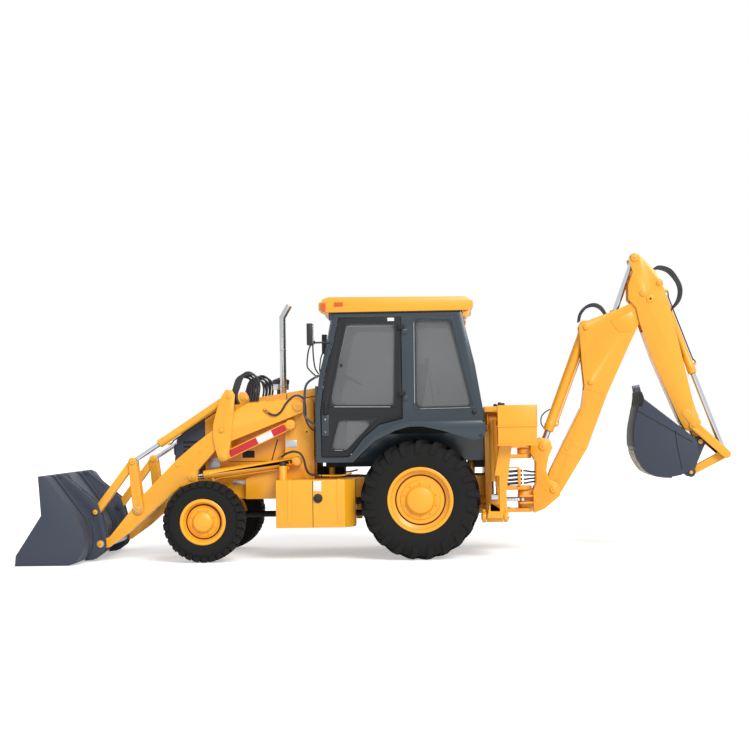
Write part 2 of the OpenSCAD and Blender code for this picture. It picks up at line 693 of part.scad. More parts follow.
module bucket_pins() color(silver) place() both() {
  ybar(bucket_pin, 30, arm_in - 6 - ear_t - 6, arm_out + 12 + ear_t);
  ybar(bucket_pin, 42, arm_out + 7 + ear_t, arm_out + 16 + ear_t);
  ybar(bucket_pin, 42, arm_in - 16 - ear_t, arm_in - 7 - ear_t);
  ybar(bucket_pin, bucket_shaft_r, -1, arm_in - 15 - ear_t);
}

post_t = 32;
post_y = boom_out + 8;
post_line = [[1666, 430], [1790, 480], [1960, 620], [1975, 700], [1930, 770], [1850, 800],
  [1815, 900], [1840, 1050], [1885, 1150], [1860, 1250], [1760, 1270], [1650, 1230],
  [1640, 1100], [1700, 1000], [1700, 760], [1664, 690]];
module swing_post() color(yellow) place() {
  both() {
    plate(post_y, post_t) polygon(post_line);
    ybar(boom_ram_foot, 50, post_y + post_t - 1, post_y + post_t + 12);
    // Ears for the swing cylinders
    for (z = [538, 612]) {
      difference() {
        translate([0, 0, z]) linear_extrude(20) polygon([[1540, 30], [1500, 120], [1510, 165],
          [1570, 170], [1700, 110], [1700, 30]]);
        translate([swing_x, 0, z - 1]) cylinder(h = 24, r = 60);
      }
    }
  }
  ybar(boom_foot, 40, -post_y - post_t - 12, post_y + post_t + 12);
  difference() {
    union() {
      for (z = [[swing_low_z0 + lug_t + 4, swing_low_z1 - 4], [swing_up_z0 + lug_t + 4, swing_up_z1 - 4]]) {
        translate([swing_x, 0, z[0]]) cylinder(h = z[1] - z[0], r = 60);
        translate([swing_x, -55, z[0]]) cube([160, 110, z[1] - z[0]]);
      }
      translate([1690, -post_y - 1, 500]) cube([30, 2 * post_y + 2, 540]);
      translate([1642, -post_y - 1, swing_up_z0 + lug_t + 4]) cube([30, 2 * post_y + 2, 67]);
    }
    translate([swing_x, 0, 400]) cylinder(h = 900, r = swing_pin_r + run_gap);
  }
}

// Left swing cylinder lies level; its line is in the plan view
swing_len = norm(swing_ear - swing_base);
swing_turn = atan2(swing_ear[1] - swing_base[1], swing_ear[0] - swing_base[0]);
module swing_aim() {
  translate([swing_base[0], -swing_base[1], swing_ram_z]) rotate([0, 0, -swing_turn]) children();
}

module swing_barrel() swing_aim() difference() {
  union() {
    translate([0, 0, -36]) cylinder(h = 72, r = 40);
    xbar(20, 490, 38);
  }
  translate([0, 0, -40]) cylinder(h = 80, r = 18 + run_gap);
  xbar(60, 491, 20 + run_gap);
}

module swing_rod() swing_aim() difference() {
  union() {
    translate([swing_len, 0, -17]) cylinder(h = 34, r = 32);
    xbar(270, swing_len - 20, 20);
  }
  translate([swing_len, 0, -30]) cylinder(h = 60, r = 15);
}

module swing_barrel_left() color(yellow) place() swing_barrel();
module swing_barrel_right() color(yellow) place() mirror([0, 1, 0]) swing_barrel();
module swing_rod_left() color(silver) place() swing_rod();
module swing_rod_right() color(silver) place() mirror([0, 1, 0]) swing_rod();

boom_line = [[1812, 720], [1847, 871], [2223, 1596], [2259, 1847], [2232, 2142], [2211, 2500],
  [2250, 2570], [2310, 2570], [2625, 2682], [2768, 2743], [2890, 2800], [2960, 2800],
  [2882, 2527], [2758, 2274], [2507, 1740], [2270, 1131], [1978, 661], [1889, 620]];
// Hollow of the boom, open in front for the boom and dipper cylinders
boom_hollow = [[1967, 674], [2256, 1138], [2492, 1746], [2744, 2281], [2867, 2533], [2939, 2784],
  [2894, 2784], [2775, 2728], [2724, 2704], [2705, 2780], [2150, 2700], [2150, 1790],
  [2267, 1790], [2238, 1591], [1862, 865], [1829, 724], [1894, 640]];
module boom_side() {
  polygon(boom_line);
  translate(boom_foot) circle(78);
  translate(dipper_pin) circle(82);
}

module boom() color(yellow) place() {
  difference() {
    union() {
      boxed(-boom_out, boom_out, boom_t) {
        boom_side();
        union() {
          polygon(boom_hollow);
          translate(dipper_pin) circle(66);
        }
      }
      ybar(boom_foot, 70, -boom_out + 1, boom_out - 1);
      ybar(dipper_pin, 70, -boom_out + 1, boom_out - 1);
    }
    ybar(boom_foot, 40 + run_gap, -boom_out - 1, boom_out + 1);
    ybar(dipper_pin, 38 + run_gap, -boom_out - 1, boom_out + 1);
  }
  ybar(boom_ram_top, 34, -boom_out - 12, boom_out + 12);
  ybar(dipper_ram_base, 32, -boom_out - 12, boom_out + 12);
}

module boom_barrel() color(yellow) place()
  barrel(boom_ram_top, boom_ram_foot, 0, boom_barrel_r, 36, 1230, 66, 150, 34);
module boom_rod() color(silver) place()
  rod(boom_ram_top, boom_ram_foot, 0, 36, 100, 60, 130, 32);

dipper_line = [[2780, 3250], [2850, 3312], [2900, 3290], [3067, 3111], [3172, 2886],
  [3200, 2774], [3240, 2632], [3450, 1667], [3530, 1390], [3480, 1310], [3360, 1330],
  [3302, 1439], [3024, 2113], [2885, 2529], [2850, 2700], [2765, 2800], [2765, 2950], [2820, 3100]];
// Hollow of the dipper, open above for both cylinders
dipper_hollow = [[3513, 1392], [3434, 1663], [3333, 2130], [3380, 2150], [3400, 2640], [3250, 3150],
  [2900, 3400], [2700, 3300], [2700, 2700], [2800, 2430], [2934, 2430], [3039, 2119],
  [3316, 1446], [3370, 1344], [3472, 1328]];
nose_y = 60;
module dipper() color(yellow) place() {
  difference() {
    union() {
      boxed(-dipper_out, dipper_out, dipper_t) {
        union() {
          polygon(dipper_line);
          translate(lever2_pin) circle(60);
        }
        polygon(dipper_hollow);
      }
      plate(-nose_y, 2 * nose_y) strap([3440, 1480], dig_pin, 80, 45);
      ybar(lever2_pin, 50, -dipper_in - 1, dipper_in + 1);
      ybar([3000, 3120], 40, -dipper_in - 1, dipper_in + 1);
    }
    ybar(dig_pin, 32 + run_gap, -nose_y - 1, nose_y + 1);
  }
  ybar(dipper_pin, 38, -dipper_out - 12, dipper_out + 12);
  ybar(lever2_pin, 30, -dipper_out - 28, dipper_out + 28);
  ybar(dig_ram_base, 30, -dipper_out - 12, dipper_out + 12);
  both() {
    ybar(dipper_top, 46, dipper_out - 1, dipper_out + 12);
  }
}

module dipper_barrel() color(yellow) place()
  barrel(dipper_ram_base, dipper_top, 0, 55, 32, 840, 58, 150, 32);
module dipper_rod() color(silver) place()
  rod(dipper_ram_base, dipper_top, 0, 32, 645, 54, 120, 28);
module dig_barrel() color(yellow) place()
  barrel(dig_ram_base, lever2_end, 0, dig_barrel_r, 30, 1075, 56, 120, 30);
module dig_rod() color(silver) place()
  rod(dig_ram_base, lever2_end, 0, 30, 860, 48, 70, 26);

module tipping_lever() color(yellow) place() {
  both() difference() {
    plate(dipper_out + 6, 20) strap(lever2_pin, lever2_end, 52, 46);
    ybar(lever2_pin, 30 + run_gap, dipper_out, dipper_out + 40);
  }
  both() {
    ybar(lever2_end, 42, 66, dipper_out + 8);
    ybar(lever2_end, 24, 42, 67);
  }
}

module dig_link() color(yellow) place() {
  both() difference() {
    plate(42, 20) strap(lever2_end, link2_end, 44, 38);
    ybar(lever2_end, 24 + run_gap, 40, 64);
    ybar(link2_end, 26 + run_gap, 40, 64);
  }
  ybar((lever2_end + link2_end) / 2 - [60, 28], 24, -43, 43);
}

dig_side = [[2857, 1690], [2880, 1690], [3418, 1258], [3462, 1180], [3464, 1087], [3420, 967],
  [3353, 891], [3270, 850], [3156, 828], [3060, 834], [2992, 852], [2906, 897], [2845, 980],
  [2800, 1080], [2780, 1200], [2785, 1350], [2797, 1449]];
dig_outer = [[2850, 1700], [2790, 1449], [2772, 1350], [2766, 1200], [2786, 1074], [2832, 971],
  [2897, 885], [2988, 838], [3058, 820], [3156, 813], [3274, 836], [3361, 878], [3431, 958],
  [3474, 1083], [3470, 1180], [3425, 1262]];
dig_inner = [[3410, 1252], [3452, 1176], [3456, 1090], [3416, 970], [3350, 893], [3268, 851],
  [3156, 829], [3062, 835], [2995, 854], [2909, 898], [2848, 981], [2802, 1082], [2782, 1201],
  [2788, 1350], [2806, 1449], [2864, 1696]];
module dig_bucket() color(navy) place() {
  plate(-dig_bucket_w / 2, dig_bucket_w) polygon(concat(dig_outer, dig_inner));
  both() {
    plate(dig_bucket_w / 2 - 14, 14) polygon(dig_side);
    difference() {
      plate(nose_y + 8, 24) {
        polygon([[3424, 1262], [3560, 1240], [3590, 1190], [3560, 1120], [3490, 960],
          [3440, 820], [3370, 830], [3346, 870], [3430, 962], [3472, 1088], [3468, 1180]]);
        translate(link2_end) circle(52);
        translate(dig_pin) circle(60);
      }
    }
  }
  ybar(dig_pin, 32, -nose_y - 40, nose_y + 40);
  both() ybar(link2_end, 26, nose_y + 7, nose_y + 40);
  // Teeth
  for (i = [-2:2])
    plate(i * 135 - 30, 60) polygon([[2838, 1640], [2850, 1700], [2832, 1839], [2842, 1839],
      [2880, 1690], [2862, 1640]]);
}

// Left stabiliser, folded up
stab_x = 1210;
stab_ram_top = [650, 1480];
stab_ram_low = [865, 650];
module stabiliser_leg() {
  translate([0, -stab_y, 440]) difference() {
    union() {
      translate([1120, 0, 0]) rotate([0, 90, 0]) cylinder(h = 180, r = 58);
      rotate([90, 0, 0]) translate([0, 0, 0]) linear_extrude(90)
        polygon([[1125, -10], [1295, -10], [1400, 765], [1270, 765]]);
      translate([1250, -230, 764]) cube([410, 230, 424]);
    }
    translate([1100, 0, 0]) rotate([0, 90, 0]) cylinder(h = 230, r = 25 + run_gap);
    translate([stab_x - 50, -100, 62]) cube([100, 101, 378]);
  }
}

module stab_aim() {
  translate([stab_x, -stab_ram_top[0], stab_ram_top[1]]) rotate([0, 0, -90])
    rotate([0, atan2(stab_ram_top[1] - stab_ram_low[1], stab_ram_low[0] - stab_ram_top[0]), 0]) children();
}

stab_len = norm(stab_ram_low - stab_ram_top);
module stabiliser_barrel() stab_aim() difference() {
  union() {
    rotate([90, 0, 0]) cylinder(h = 80, r = 46, center = true);
    xbar(20, 690, 42);
  }
  rotate([90, 0, 0]) cylinder(h = 84, r = 22 + run_gap, center = true);
  xbar(60, 691, 25 + run_gap);
}

module stabiliser_rod() stab_aim() difference() {
  union() {
    translate([stab_len, 0, 0]) rotate([90, 0, 0]) cylinder(h = 70, r = 40, center = true);
    xbar(80, stab_len - 25, 25);
  }
  translate([stab_len, 0, 0]) rotate([90, 0, 0]) cylinder(h = 84, r = 20, center = true);
}

module stabiliser_leg_left() color(yellow) place() stabiliser_leg();
module stabiliser_leg_right() color(yellow) place() mirror([0, 1, 0]) stabiliser_leg();
module stabiliser_barrel_left() color(yellow) place() stabiliser_barrel();
module stabiliser_barrel_right() color(yellow) place() mirror([0, 1, 0]) stabiliser_barrel();
module stabiliser_rod_left() color(silver) place() stabiliser_rod();
module stabiliser_rod_right() color(silver) place() mirror([0, 1, 0]) stabiliser_rod();
chassis();
driveline();
hood();
grille();
cab_frame();
cab_roof();
cab_glass();
side_tanks();
exhaust();
operator_station();
cab_trim();
rear_frame();
door_left();
door_right();
door_glass_left();
door_glass_right();
knuckle_left();
knuckle_right();
front_tyre_left();
front_tyre_right();
front_rim_left();
front_rim_right();
rear_tyre_left();
rear_tyre_right();
rear_rim_left();
rear_rim_right();
loader_arm();
lift_barrels();
lift_rods();
levelling_rods();
knee_plates();
tilt_barrels();
tilt_rods();
levers();
lever_pins();
bucket_links();
bucket_pins();
loader_bucket();
swing_post();
swing_barrel_left();
swing_barrel_right();
swing_rod_left();
swing_rod_right();
boom();
boom_barrel();
boom_rod();
dipper();
dipper_barrel();
dipper_rod();
dig_barrel();
dig_rod();
tipping_lever();
dig_link();
dig_bucket();
stabiliser_leg_left();
stabiliser_leg_right();
stabiliser_barrel_left();
stabiliser_barrel_right();
stabiliser_rod_left();
stabiliser_rod_right();
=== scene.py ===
"""Backhoe loader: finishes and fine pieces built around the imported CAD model."""

import json
import math

import bmesh
import bpy
from bpy.props import FloatProperty, FloatVectorProperty, IntProperty, PointerProperty
from mathutils import Matrix, Vector


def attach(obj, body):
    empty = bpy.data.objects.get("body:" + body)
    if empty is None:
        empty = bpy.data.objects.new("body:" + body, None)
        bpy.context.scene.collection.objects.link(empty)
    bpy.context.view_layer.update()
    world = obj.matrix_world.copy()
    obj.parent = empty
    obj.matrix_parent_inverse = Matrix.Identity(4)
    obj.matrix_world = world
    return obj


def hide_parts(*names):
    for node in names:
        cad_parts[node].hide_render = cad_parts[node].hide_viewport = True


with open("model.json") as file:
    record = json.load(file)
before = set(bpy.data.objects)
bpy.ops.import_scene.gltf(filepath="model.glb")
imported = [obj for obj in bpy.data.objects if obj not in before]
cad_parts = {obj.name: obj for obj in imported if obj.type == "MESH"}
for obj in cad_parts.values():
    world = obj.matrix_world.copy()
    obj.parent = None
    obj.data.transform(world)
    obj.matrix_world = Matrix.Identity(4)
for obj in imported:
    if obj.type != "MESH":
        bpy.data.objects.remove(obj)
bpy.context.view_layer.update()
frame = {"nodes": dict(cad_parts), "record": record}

bl_info = {
    "name": "Backhoe Loader",
    "version": (1, 0, 0),
    "blender": (4, 5, 0),
    "location": "View3D > Sidebar > Backhoe Loader",
    "description": "Adds the finishes and fine pieces of a backhoe loader to its CAD model",
    "category": "Object",
}

# The machine's own X in millimetres is this far behind the frame's X
SHIFT_X = 20.0
LEFT, RIGHT = -1, 1
# Hoses over each knee of the loader, and across the dig bucket the pitch of its five teeth
KNEE_HOSES = 6
TOOTH_PITCH = 135

# Pins in the side view, x then z in machine millimetres, as in the CAD source
PINS = {
    "arm": (-905, 1665), "level": (-988, 1457), "lift_base": (-924, 1061),
    "lift_rod": (-2075, 905), "knee": (-1744, 1408), "knee_top": (-1656, 1777),
    "knee_low": (-1735, 1115), "lever": (-2667, 564), "lever_top": (-2725, 1081),
    "link": (-3135, 538), "bucket": (-3083, 191), "boom_foot": (1889, 690),
    "boom_ram_foot": (1785, 1174), "boom_ram_top": (2290, 2496), "dipper": (2929, 2865),
    "dipper_top": (2846, 3265), "dipper_ram_base": (2330, 1880), "dig_ram_base": (3107, 2975),
    "lever2": (3458, 1380), "lever2_end": (3809, 1058), "link2_end": (3420, 858),
    "dig": (3532, 1198),
}


def linear(code):
    """Turn an sRGB hex colour into linear RGBA; a linear one stays as it is."""
    if not isinstance(code, str):
        return tuple(code)
    parts = [int(code[i:i + 2], 16) / 255 for i in (1, 3, 5)]
    return tuple(p / 12.92 if p <= 0.04045 else ((p + 0.055) / 1.055) ** 2.4
                 for p in parts) + (1.0,)


def per_metre(size_mm):
    """Texture scale that gives a pattern of this size in millimetres."""
    return 1000.0 / size_mm


def point(x, y, z):
    """Turn machine millimetres into frame metres."""
    return Vector(((x + SHIFT_X) / 1000, y / 1000, z / 1000))


# ---------------------------------------------------------------- materials


def add_node(tree, kind, links=None, **settings):
    """Add a node, set its settings, and fill or wire its inputs."""
    node = tree.nodes.new(kind)
    for key, value in settings.items():
        setattr(node, key, value)
    for socket, value in (links or {}).items():
        if isinstance(value, bpy.types.NodeSocket):
            tree.links.new(value, node.inputs[socket])
        else:
            node.inputs[socket].default_value = value
    return node


def new_material(name):
    """Start an empty node material and return it with its tree."""
    material = bpy.data.materials.new(name)
    material.use_nodes = True
    material.node_tree.nodes.clear()
    return material, material.node_tree


def close_material(tree, shader):
    """Wire the last shader to the output."""
    add_node(tree, "ShaderNodeOutputMaterial", {"Surface": shader})


def surface(name, colour, second, rough, patch_mm, grain_mm, grain_depth_mm, rough_swing=0.06,
            edge_mm=2.5, wear_and_highlight=None, wear_and_highlight_amount=0.0, **shader_values):
    """Coated, cast, moulded or bare surface: broad tone patches, fine grain, softened edges."""
    material, tree = new_material(name)
    place = add_node(tree, "ShaderNodeTexCoord").outputs["Object"]
    patches = add_node(tree, "ShaderNodeTexNoise", {
        "Vector": place, "Scale": per_metre(patch_mm), "Detail": 4.0, "Roughness": 0.55})
    tone = add_node(tree, "ShaderNodeMix", {
        0: patches.outputs["Fac"], 6: linear(colour), 7: linear(second)}, data_type="RGBA")
    base = tone.outputs[2]
    # Edges lighter by pointiness and noise: bare rubbed steel on the cutting steel, a painted
    # highlight on the dark enamel
    if wear_and_highlight:
        point_out = add_node(tree, "ShaderNodeNewGeometry").outputs["Pointiness"]
        edge_noise = add_node(tree, "ShaderNodeTexNoise", {
            "Vector": place, "Scale": per_metre(60), "Detail": 6.0})
        summed = add_node(tree, "ShaderNodeMath", {0: point_out, 1: 0.12}, operation="MULTIPLY_ADD")
        tree.links.new(edge_noise.outputs["Fac"], summed.inputs[1])
        edge = add_node(tree, "ShaderNodeMapRange", {
            "Value": summed.outputs[0], "From Min": 0.5, "From Max": 0.62,
            "To Min": 0.0, "To Max": wear_and_highlight_amount})
        base = add_node(tree, "ShaderNodeMix", {0: edge.outputs[0], 6: base, 7: linear(wear_and_highlight)},
                        data_type="RGBA").outputs[2]
    rough_map = add_node(tree, "ShaderNodeMapRange", {
        "Value": patches.outputs["Fac"], "From Min": 0.3, "From Max": 0.7,
        "To Min": rough - rough_swing, "To Max": rough + rough_swing})
    rounded = add_node(tree, "ShaderNodeBevel", {"Radius": edge_mm / 1000}, samples=4)
    grain = add_node(tree, "ShaderNodeTexNoise", {
        "Vector": place, "Scale": per_metre(grain_mm), "Detail": 2.0})
    bump = add_node(tree, "ShaderNodeBump", {
        "Height": grain.outputs["Fac"], "Normal": rounded.outputs["Normal"],
        "Strength": 1.0, "Distance": grain_depth_mm / 1000})
    values = {"Base Color": base, "Roughness": rough_map.outputs[0], "Normal": bump.outputs[0]}
    values.update(shader_values)
    close_material(tree, add_node(tree, "ShaderNodeBsdfPrincipled", values).outputs[0])
    return material


def machine_enamel(colour):
    """Sprayed two-pack enamel: even bright yellow, faint orange peel, soft gloss."""
    return surface("machine_enamel", colour, "#EEA11B", 0.36, patch_mm=900, grain_mm=9,
                   grain_depth_mm=0.05, rough_swing=0.05, edge_mm=4,
                   **{"Coat Weight": 0.25, "Coat Roughness": 0.18, "IOR": 1.5})


def dark_enamel(colour):
    """Sprayed blue-grey enamel: satin, with a painted highlight that lightens its edges a little.
    """
    return surface("dark_enamel", colour, "#262C3C", 0.46, patch_mm=700, grain_mm=9,
                   grain_depth_mm=0.05, edge_mm=4, wear_and_highlight="#5A606C", wear_and_highlight_amount=0.35,
                   **{"Specular IOR Level": 0.2, "IOR": 1.5})


def make_finishes(settings):
    """Make every finish once; the key is the name that pieces ask for."""
    made = {"machine_enamel": machine_enamel(settings.machine_colour),
            "dark_enamel": dark_enamel(settings.dark_colour)}
    # Cab posts and fenders: glossy slate enamel with a green cast, clear sky reflections
    made["cab_enamel"] = surface("cab_enamel", "#2B3944", "#243039", 0.26, 800, 9, 0.04, edge_mm=4,
                                 **{"Coat Weight": 0.2, "Coat Roughness": 0.12, "IOR": 1.5})
    # Doors: neutral charcoal enamel, satin
    made["door_enamel"] = surface("door_enamel", "#2C2D30", "#26272A", 0.44, 600, 9, 0.04,
                                  edge_mm=4, **{"Specular IOR Level": 0.2, "IOR": 1.5})
    # Black powder coat: matt, finely textured; the same black also paints the shade in slots,
    # openings, holes, the door groove and the wheel arches
    made["powder_coat_and_painted_shade"] = surface("powder_coat_and_painted_shade", "#17181A", "#1F2123", 0.6, 500, 2.5, 0.06,
                                  IOR=1.35)
    # Vulcanised rubber tread compound: charcoal with grey dust in patches, matt
    made["tyre_rubber"] = surface("tyre_rubber", "#121213", "#232221", 0.86, 170, 6, 0.35,
                                  rough_swing=0.08, edge_mm=3, IOR=1.3)
    # Hard chrome plate on ground steel: mirror grey with fine haze
    made["hard_chrome"] = surface("hard_chrome", "#CDD2D8", "#BCC3CB", 0.14, 300, 3, 0.004,
                                  rough_swing=0.04, Metallic=1.0)
    # Zinc-plated steel fasteners: pale grey, slightly blotchy
    made["zinc_steel"] = surface("zinc_steel", "#B5B6B2", "#9A9B99", 0.38, 25, 2, 0.02,
                                 Metallic=1.0)
    # Polished stainless tube of the exhaust
    made["stainless_tube"] = surface("stainless_tube", "#C9CBCC", "#AEB1B4", 0.22, 160, 2.5, 0.01,
                                     Metallic=1.0)
    # Wear steel scuffed by soil: bare grey-tan streaks
    made["wear_steel"] = surface("wear_steel", "#A59C8F", "#7E776D", 0.48, 45, 3, 0.08,
                                 rough_swing=0.12, Metallic=0.6)
    # Blackened cutting steel of teeth and edges
    made["cutting_steel"] = surface("cutting_steel", "#2E2F33", "#46464A", 0.5, 70, 4, 0.12,
                                    wear_and_highlight="#8A8378", wear_and_highlight_amount=0.7, Metallic=0.4)
    # Moulded black polypropylene: low sheen with a leather-like grain
    made["moulded_plastic"] = surface("moulded_plastic", "#17181A", "#222326", 0.5, 260, 1.8, 0.08,
                                      edge_mm=2, IOR=1.49)
    # Embossed vinyl of the seat
    made["seat_vinyl"] = surface("seat_vinyl", "#232326", "#2D2D31", 0.58, 150, 3, 0.25,
                                 edge_mm=1, **{"Sheen Weight": 0.15})
    # Extruded nitrile rubber cover of the hydraulic hoses
    made["hose_rubber"] = surface("hose_rubber", "#1D1E21", "#2B2C2F", 0.5, 90, 2, 0.05, edge_mm=1)
    # Turned brass of small fittings
    made["turned_brass"] = surface("turned_brass", "#B08D4E", "#9A7A42", 0.3, 30, 2, 0.01,
                                   Metallic=1.0)
    # Retroreflective film, red and white
    made["red_film"] = surface("red_film", "#C8202A", "#B81C26", 0.28, 120, 2, 0.01, edge_mm=0.5)
    made["white_film"] = surface("white_film", "#E9E9E6", "#DDDEDB", 0.28, 120, 2, 0.01,
                                 edge_mm=0.5)
    # Acrylic lenses: orange for the markers, clear for the lamps
    made["orange_lens"] = surface("orange_lens", "#E0561A", "#D24A12", 0.12, 60, 6, 0.05,
                                  edge_mm=2, IOR=1.49, **{"Coat Weight": 0.5})
    made["clear_lens"] = surface("clear_lens", "#D9DEE2", "#C4CACF", 0.1, 40, 7, 0.1,
                                 edge_mm=2, IOR=1.49, **{"Coat Weight": 0.5})
    made["red_lens"] = surface("red_lens", "#A81A1A", "#8E1414", 0.12, 60, 6, 0.05,
                               edge_mm=2, IOR=1.49, **{"Coat Weight": 0.5})
    # Anodised aluminium data plates and vent panels, and pale strips that paint a highlight along
    # the window edges: pale satin grey
    made["anodised_aluminium_and_highlight"] = surface("anodised_aluminium_and_highlight", "#C6C8CA", "#B3B6B9", 0.34, 60, 2,
                                         0.01, Metallic=0.8)
    made["tinted_glass"] = tinted_glass()
    return made


def tinted_glass():
    """Toughened cab glass with a grey tint: mostly clear, with a thin film of dust."""
    material, tree = new_material("tinted_glass")
    place = add_node(tree, "ShaderNodeTexCoord").outputs["Object"]
    film = add_node(tree, "ShaderNodeTexNoise", {
        "Vector": place, "Scale": per_metre(650), "Detail": 3.0})
    tone = add_node(tree, "ShaderNodeMix", {
        0: film.outputs["Fac"], 6: linear("#66686A"), 7: linear("#7C7E80")}, data_type="RGBA")
    pane = add_node(tree, "ShaderNodeBsdfPrincipled", {
        "Base Color": tone.outputs[2], "Roughness": 0.06, "IOR": 1.5, "Alpha": 0.6})
    close_material(tree, pane.outputs[0])
    return material


FINISHES = {}


# ---------------------------------------------------------------- shapes


def new_mesh():
    """Empty bmesh for one piece."""
    return bmesh.new()


def add_block(bm, low, high):
    """Block between two corners."""
    low, high = point(*low), point(*high)
    verts = bmesh.ops.create_cube(bm, size=1.0)["verts"]
    bmesh.ops.scale(bm, vec=high - low, verts=verts)
    bmesh.ops.translate(bm, vec=(low + high) / 2, verts=verts)
    return verts


def add_round(bm, start, end, radius, end_radius=None, segments=32):
    """Round bar or cone from start to end."""
    start, end = point(*start), point(*end)
    axis = end - start
    far = radius if end_radius is None else end_radius
    verts = bmesh.ops.create_cone(
        bm, cap_ends=True, segments=segments, radius1=radius / 1000, radius2=far / 1000,
        depth=axis.length)["verts"]
    turn = axis.to_track_quat("Z", "Y").to_matrix()
    bmesh.ops.rotate(bm, cent=(0, 0, 0), matrix=turn, verts=verts)
    bmesh.ops.translate(bm, vec=(start + end) / 2, verts=verts)
    return verts


def add_ball(bm, centre, radius, stretch=(1, 1, 1)):
    """Ball, stretched along the frame's axes."""
    ball = bmesh.ops.create_uvsphere(bm, u_segments=24, v_segments=14, radius=radius / 1000)
    verts = ball["verts"]
    bmesh.ops.scale(bm, vec=stretch, verts=verts)
    bmesh.ops.translate(bm, vec=point(*centre), verts=verts)
    return verts


def add_plate(bm, outline, y0, y1):
    """Plate with an outline in the side view, from y0 to y1."""
    verts = [bm.verts.new(point(x, y0, z)) for x, z in outline]
    face = bm.faces.new(verts)
    made = bmesh.ops.extrude_face_region(bm, geom=[face])["geom"]
    top = [g for g in made if isinstance(g, bmesh.types.BMVert)]
    bmesh.ops.translate(bm, vec=(0, (y1 - y0) / 1000, 0), verts=top)
    return verts + top


def add_turned(bm, profile, centre, direction, steps=72):
    """Ring turned from a closed profile of radius and offset about an axis."""
    middle, direction = point(*centre), Vector(direction).normalized()
    side = direction.orthogonal().normalized()
    ring = [bm.verts.new(middle + side * (r / 1000) + direction * (o / 1000)) for r, o in profile]
    edges = [bm.edges.new(pair) for pair in zip(ring, ring[1:] + ring[:1])]
    bmesh.ops.spin(bm, geom=ring + edges, cent=middle, axis=direction, angle=2 * math.pi,
                   steps=steps, use_merge=True)
    bmesh.ops.remove_doubles(bm, verts=bm.verts, dist=0.00002)


def strap_outline(p, q, r1, r2, steps=14):
    """Outline of a strap, round at both ends."""
    angle = math.atan2(q[1] - p[1], q[0] - p[0])
    outline = []
    for (cx, cz), r, start in ((q, r2, angle - math.pi / 2), (p, r1, angle + math.pi / 2)):
        for i in range(steps + 1):
            a = start + math.pi * i / steps
            outline.append((cx + r * math.cos(a), cz + r * math.sin(a)))
    return outline


def along(p, q, distance, across=0.0):
    """Point on the line from p to q in the side view, distance from p and across it."""
    length = math.hypot(q[0] - p[0], q[1] - p[1])
    ux, uz = (q[0] - p[0]) / length, (q[1] - p[1]) / length
    return p[0] + ux * distance - uz * across, p[1] + uz * distance + ux * across


def soften(bm, width, segments=2, angle=30.0):
    """Face the shape outwards and round its sharp edges."""
    bmesh.ops.recalc_face_normals(bm, faces=bm.faces)
    limit = math.radians(angle)
    sharp = [e for e in bm.edges if len(e.link_faces) == 2 and e.calc_face_angle(0.0) > limit]
    if sharp:
        bmesh.ops.bevel(bm, geom=sharp, offset=width / 1000, offset_type="OFFSET", affect="EDGES",
                        segments=segments, profile=0.5, material=-1, clamp_overlap=True)


def copy_across(bm):
    """Add the mirror image on the other side of the machine."""
    made = bmesh.ops.duplicate(bm, geom=bm.verts[:] + bm.edges[:] + bm.faces[:])["geom"]
    verts = [g for g in made if isinstance(g, bmesh.types.BMVert)]
    faces = [g for g in made if isinstance(g, bmesh.types.BMFace)]
    bmesh.ops.scale(bm, vec=(1, -1, 1), verts=verts)
    bmesh.ops.reverse_faces(bm, faces=faces)


def add_piece(name, bm, finish, body, side=LEFT, both=False, width=0.0, smooth=40.0, segments=2):
    """Finish a left-hand shape as a piece of the body, on one side or both."""
    if width:
        soften(bm, width, segments)
    else:
        bmesh.ops.recalc_face_normals(bm, faces=bm.faces)
    if both:
        copy_across(bm)
    elif side == RIGHT:
        bmesh.ops.scale(bm, vec=(1, -1, 1), verts=bm.verts)
        bmesh.ops.reverse_faces(bm, faces=bm.faces)
    mesh = bpy.data.meshes.new(name)
    bm.to_mesh(mesh)
    bm.free()
    mesh.polygons.foreach_set("use_smooth", [True] * len(mesh.polygons))
    mesh.set_sharp_from_angle(angle=math.radians(smooth))
    mesh.materials.append(FINISHES[finish])
    piece = bpy.data.objects.new(name, mesh)
    bpy.context.scene.collection.objects.link(piece)
    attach(piece, body)
    return piece


def smooth_path(knots, spacing=0.018):
    """Points on a smooth curve through the knots, evenly close together."""
    padded = [knots[0] * 2 - knots[1]] + knots + [knots[-1] * 2 - knots[-2]]
    path = [knots[0]]
    for a, b, c, d in zip(padded, padded[1:], padded[2:], padded[3:]):
        steps = max(2, int((c - b).length / spacing))
        for i in range(1, steps + 1):
            t = i / steps
            path.append(0.5 * ((2 * b) + (c - a) * t + (2 * a - 5 * b + 4 * c - d) * t * t
                               + (3 * b - a - 3 * c + d) * t ** 3))
    return path


def add_hose(name, body, knots, radius, side=LEFT):
    """Hydraulic hose of one length, as a curve riding on one body."""
    flip = 1 if side == LEFT else -1
    path = smooth_path([point(x, flip * y, z) for x, y, z in knots])
    curve = bpy.data.curves.new(name, "CURVE")
    curve.dimensions = "3D"
    curve.bevel_depth = radius / 1000
    curve.bevel_resolution = 3
    curve.use_fill_caps = True
    spline = curve.splines.new("POLY")
    spline.points.add(len(path) - 1)
    for knot, place in zip(spline.points, path):
        knot.co = (*place, 1.0)
    spline.use_smooth = True
    curve.materials.append(FINISHES["hose_rubber"])
    hose = bpy.data.objects.new(name, curve)
    bpy.context.scene.collection.objects.link(hose)
    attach(hose, body)
    return hose


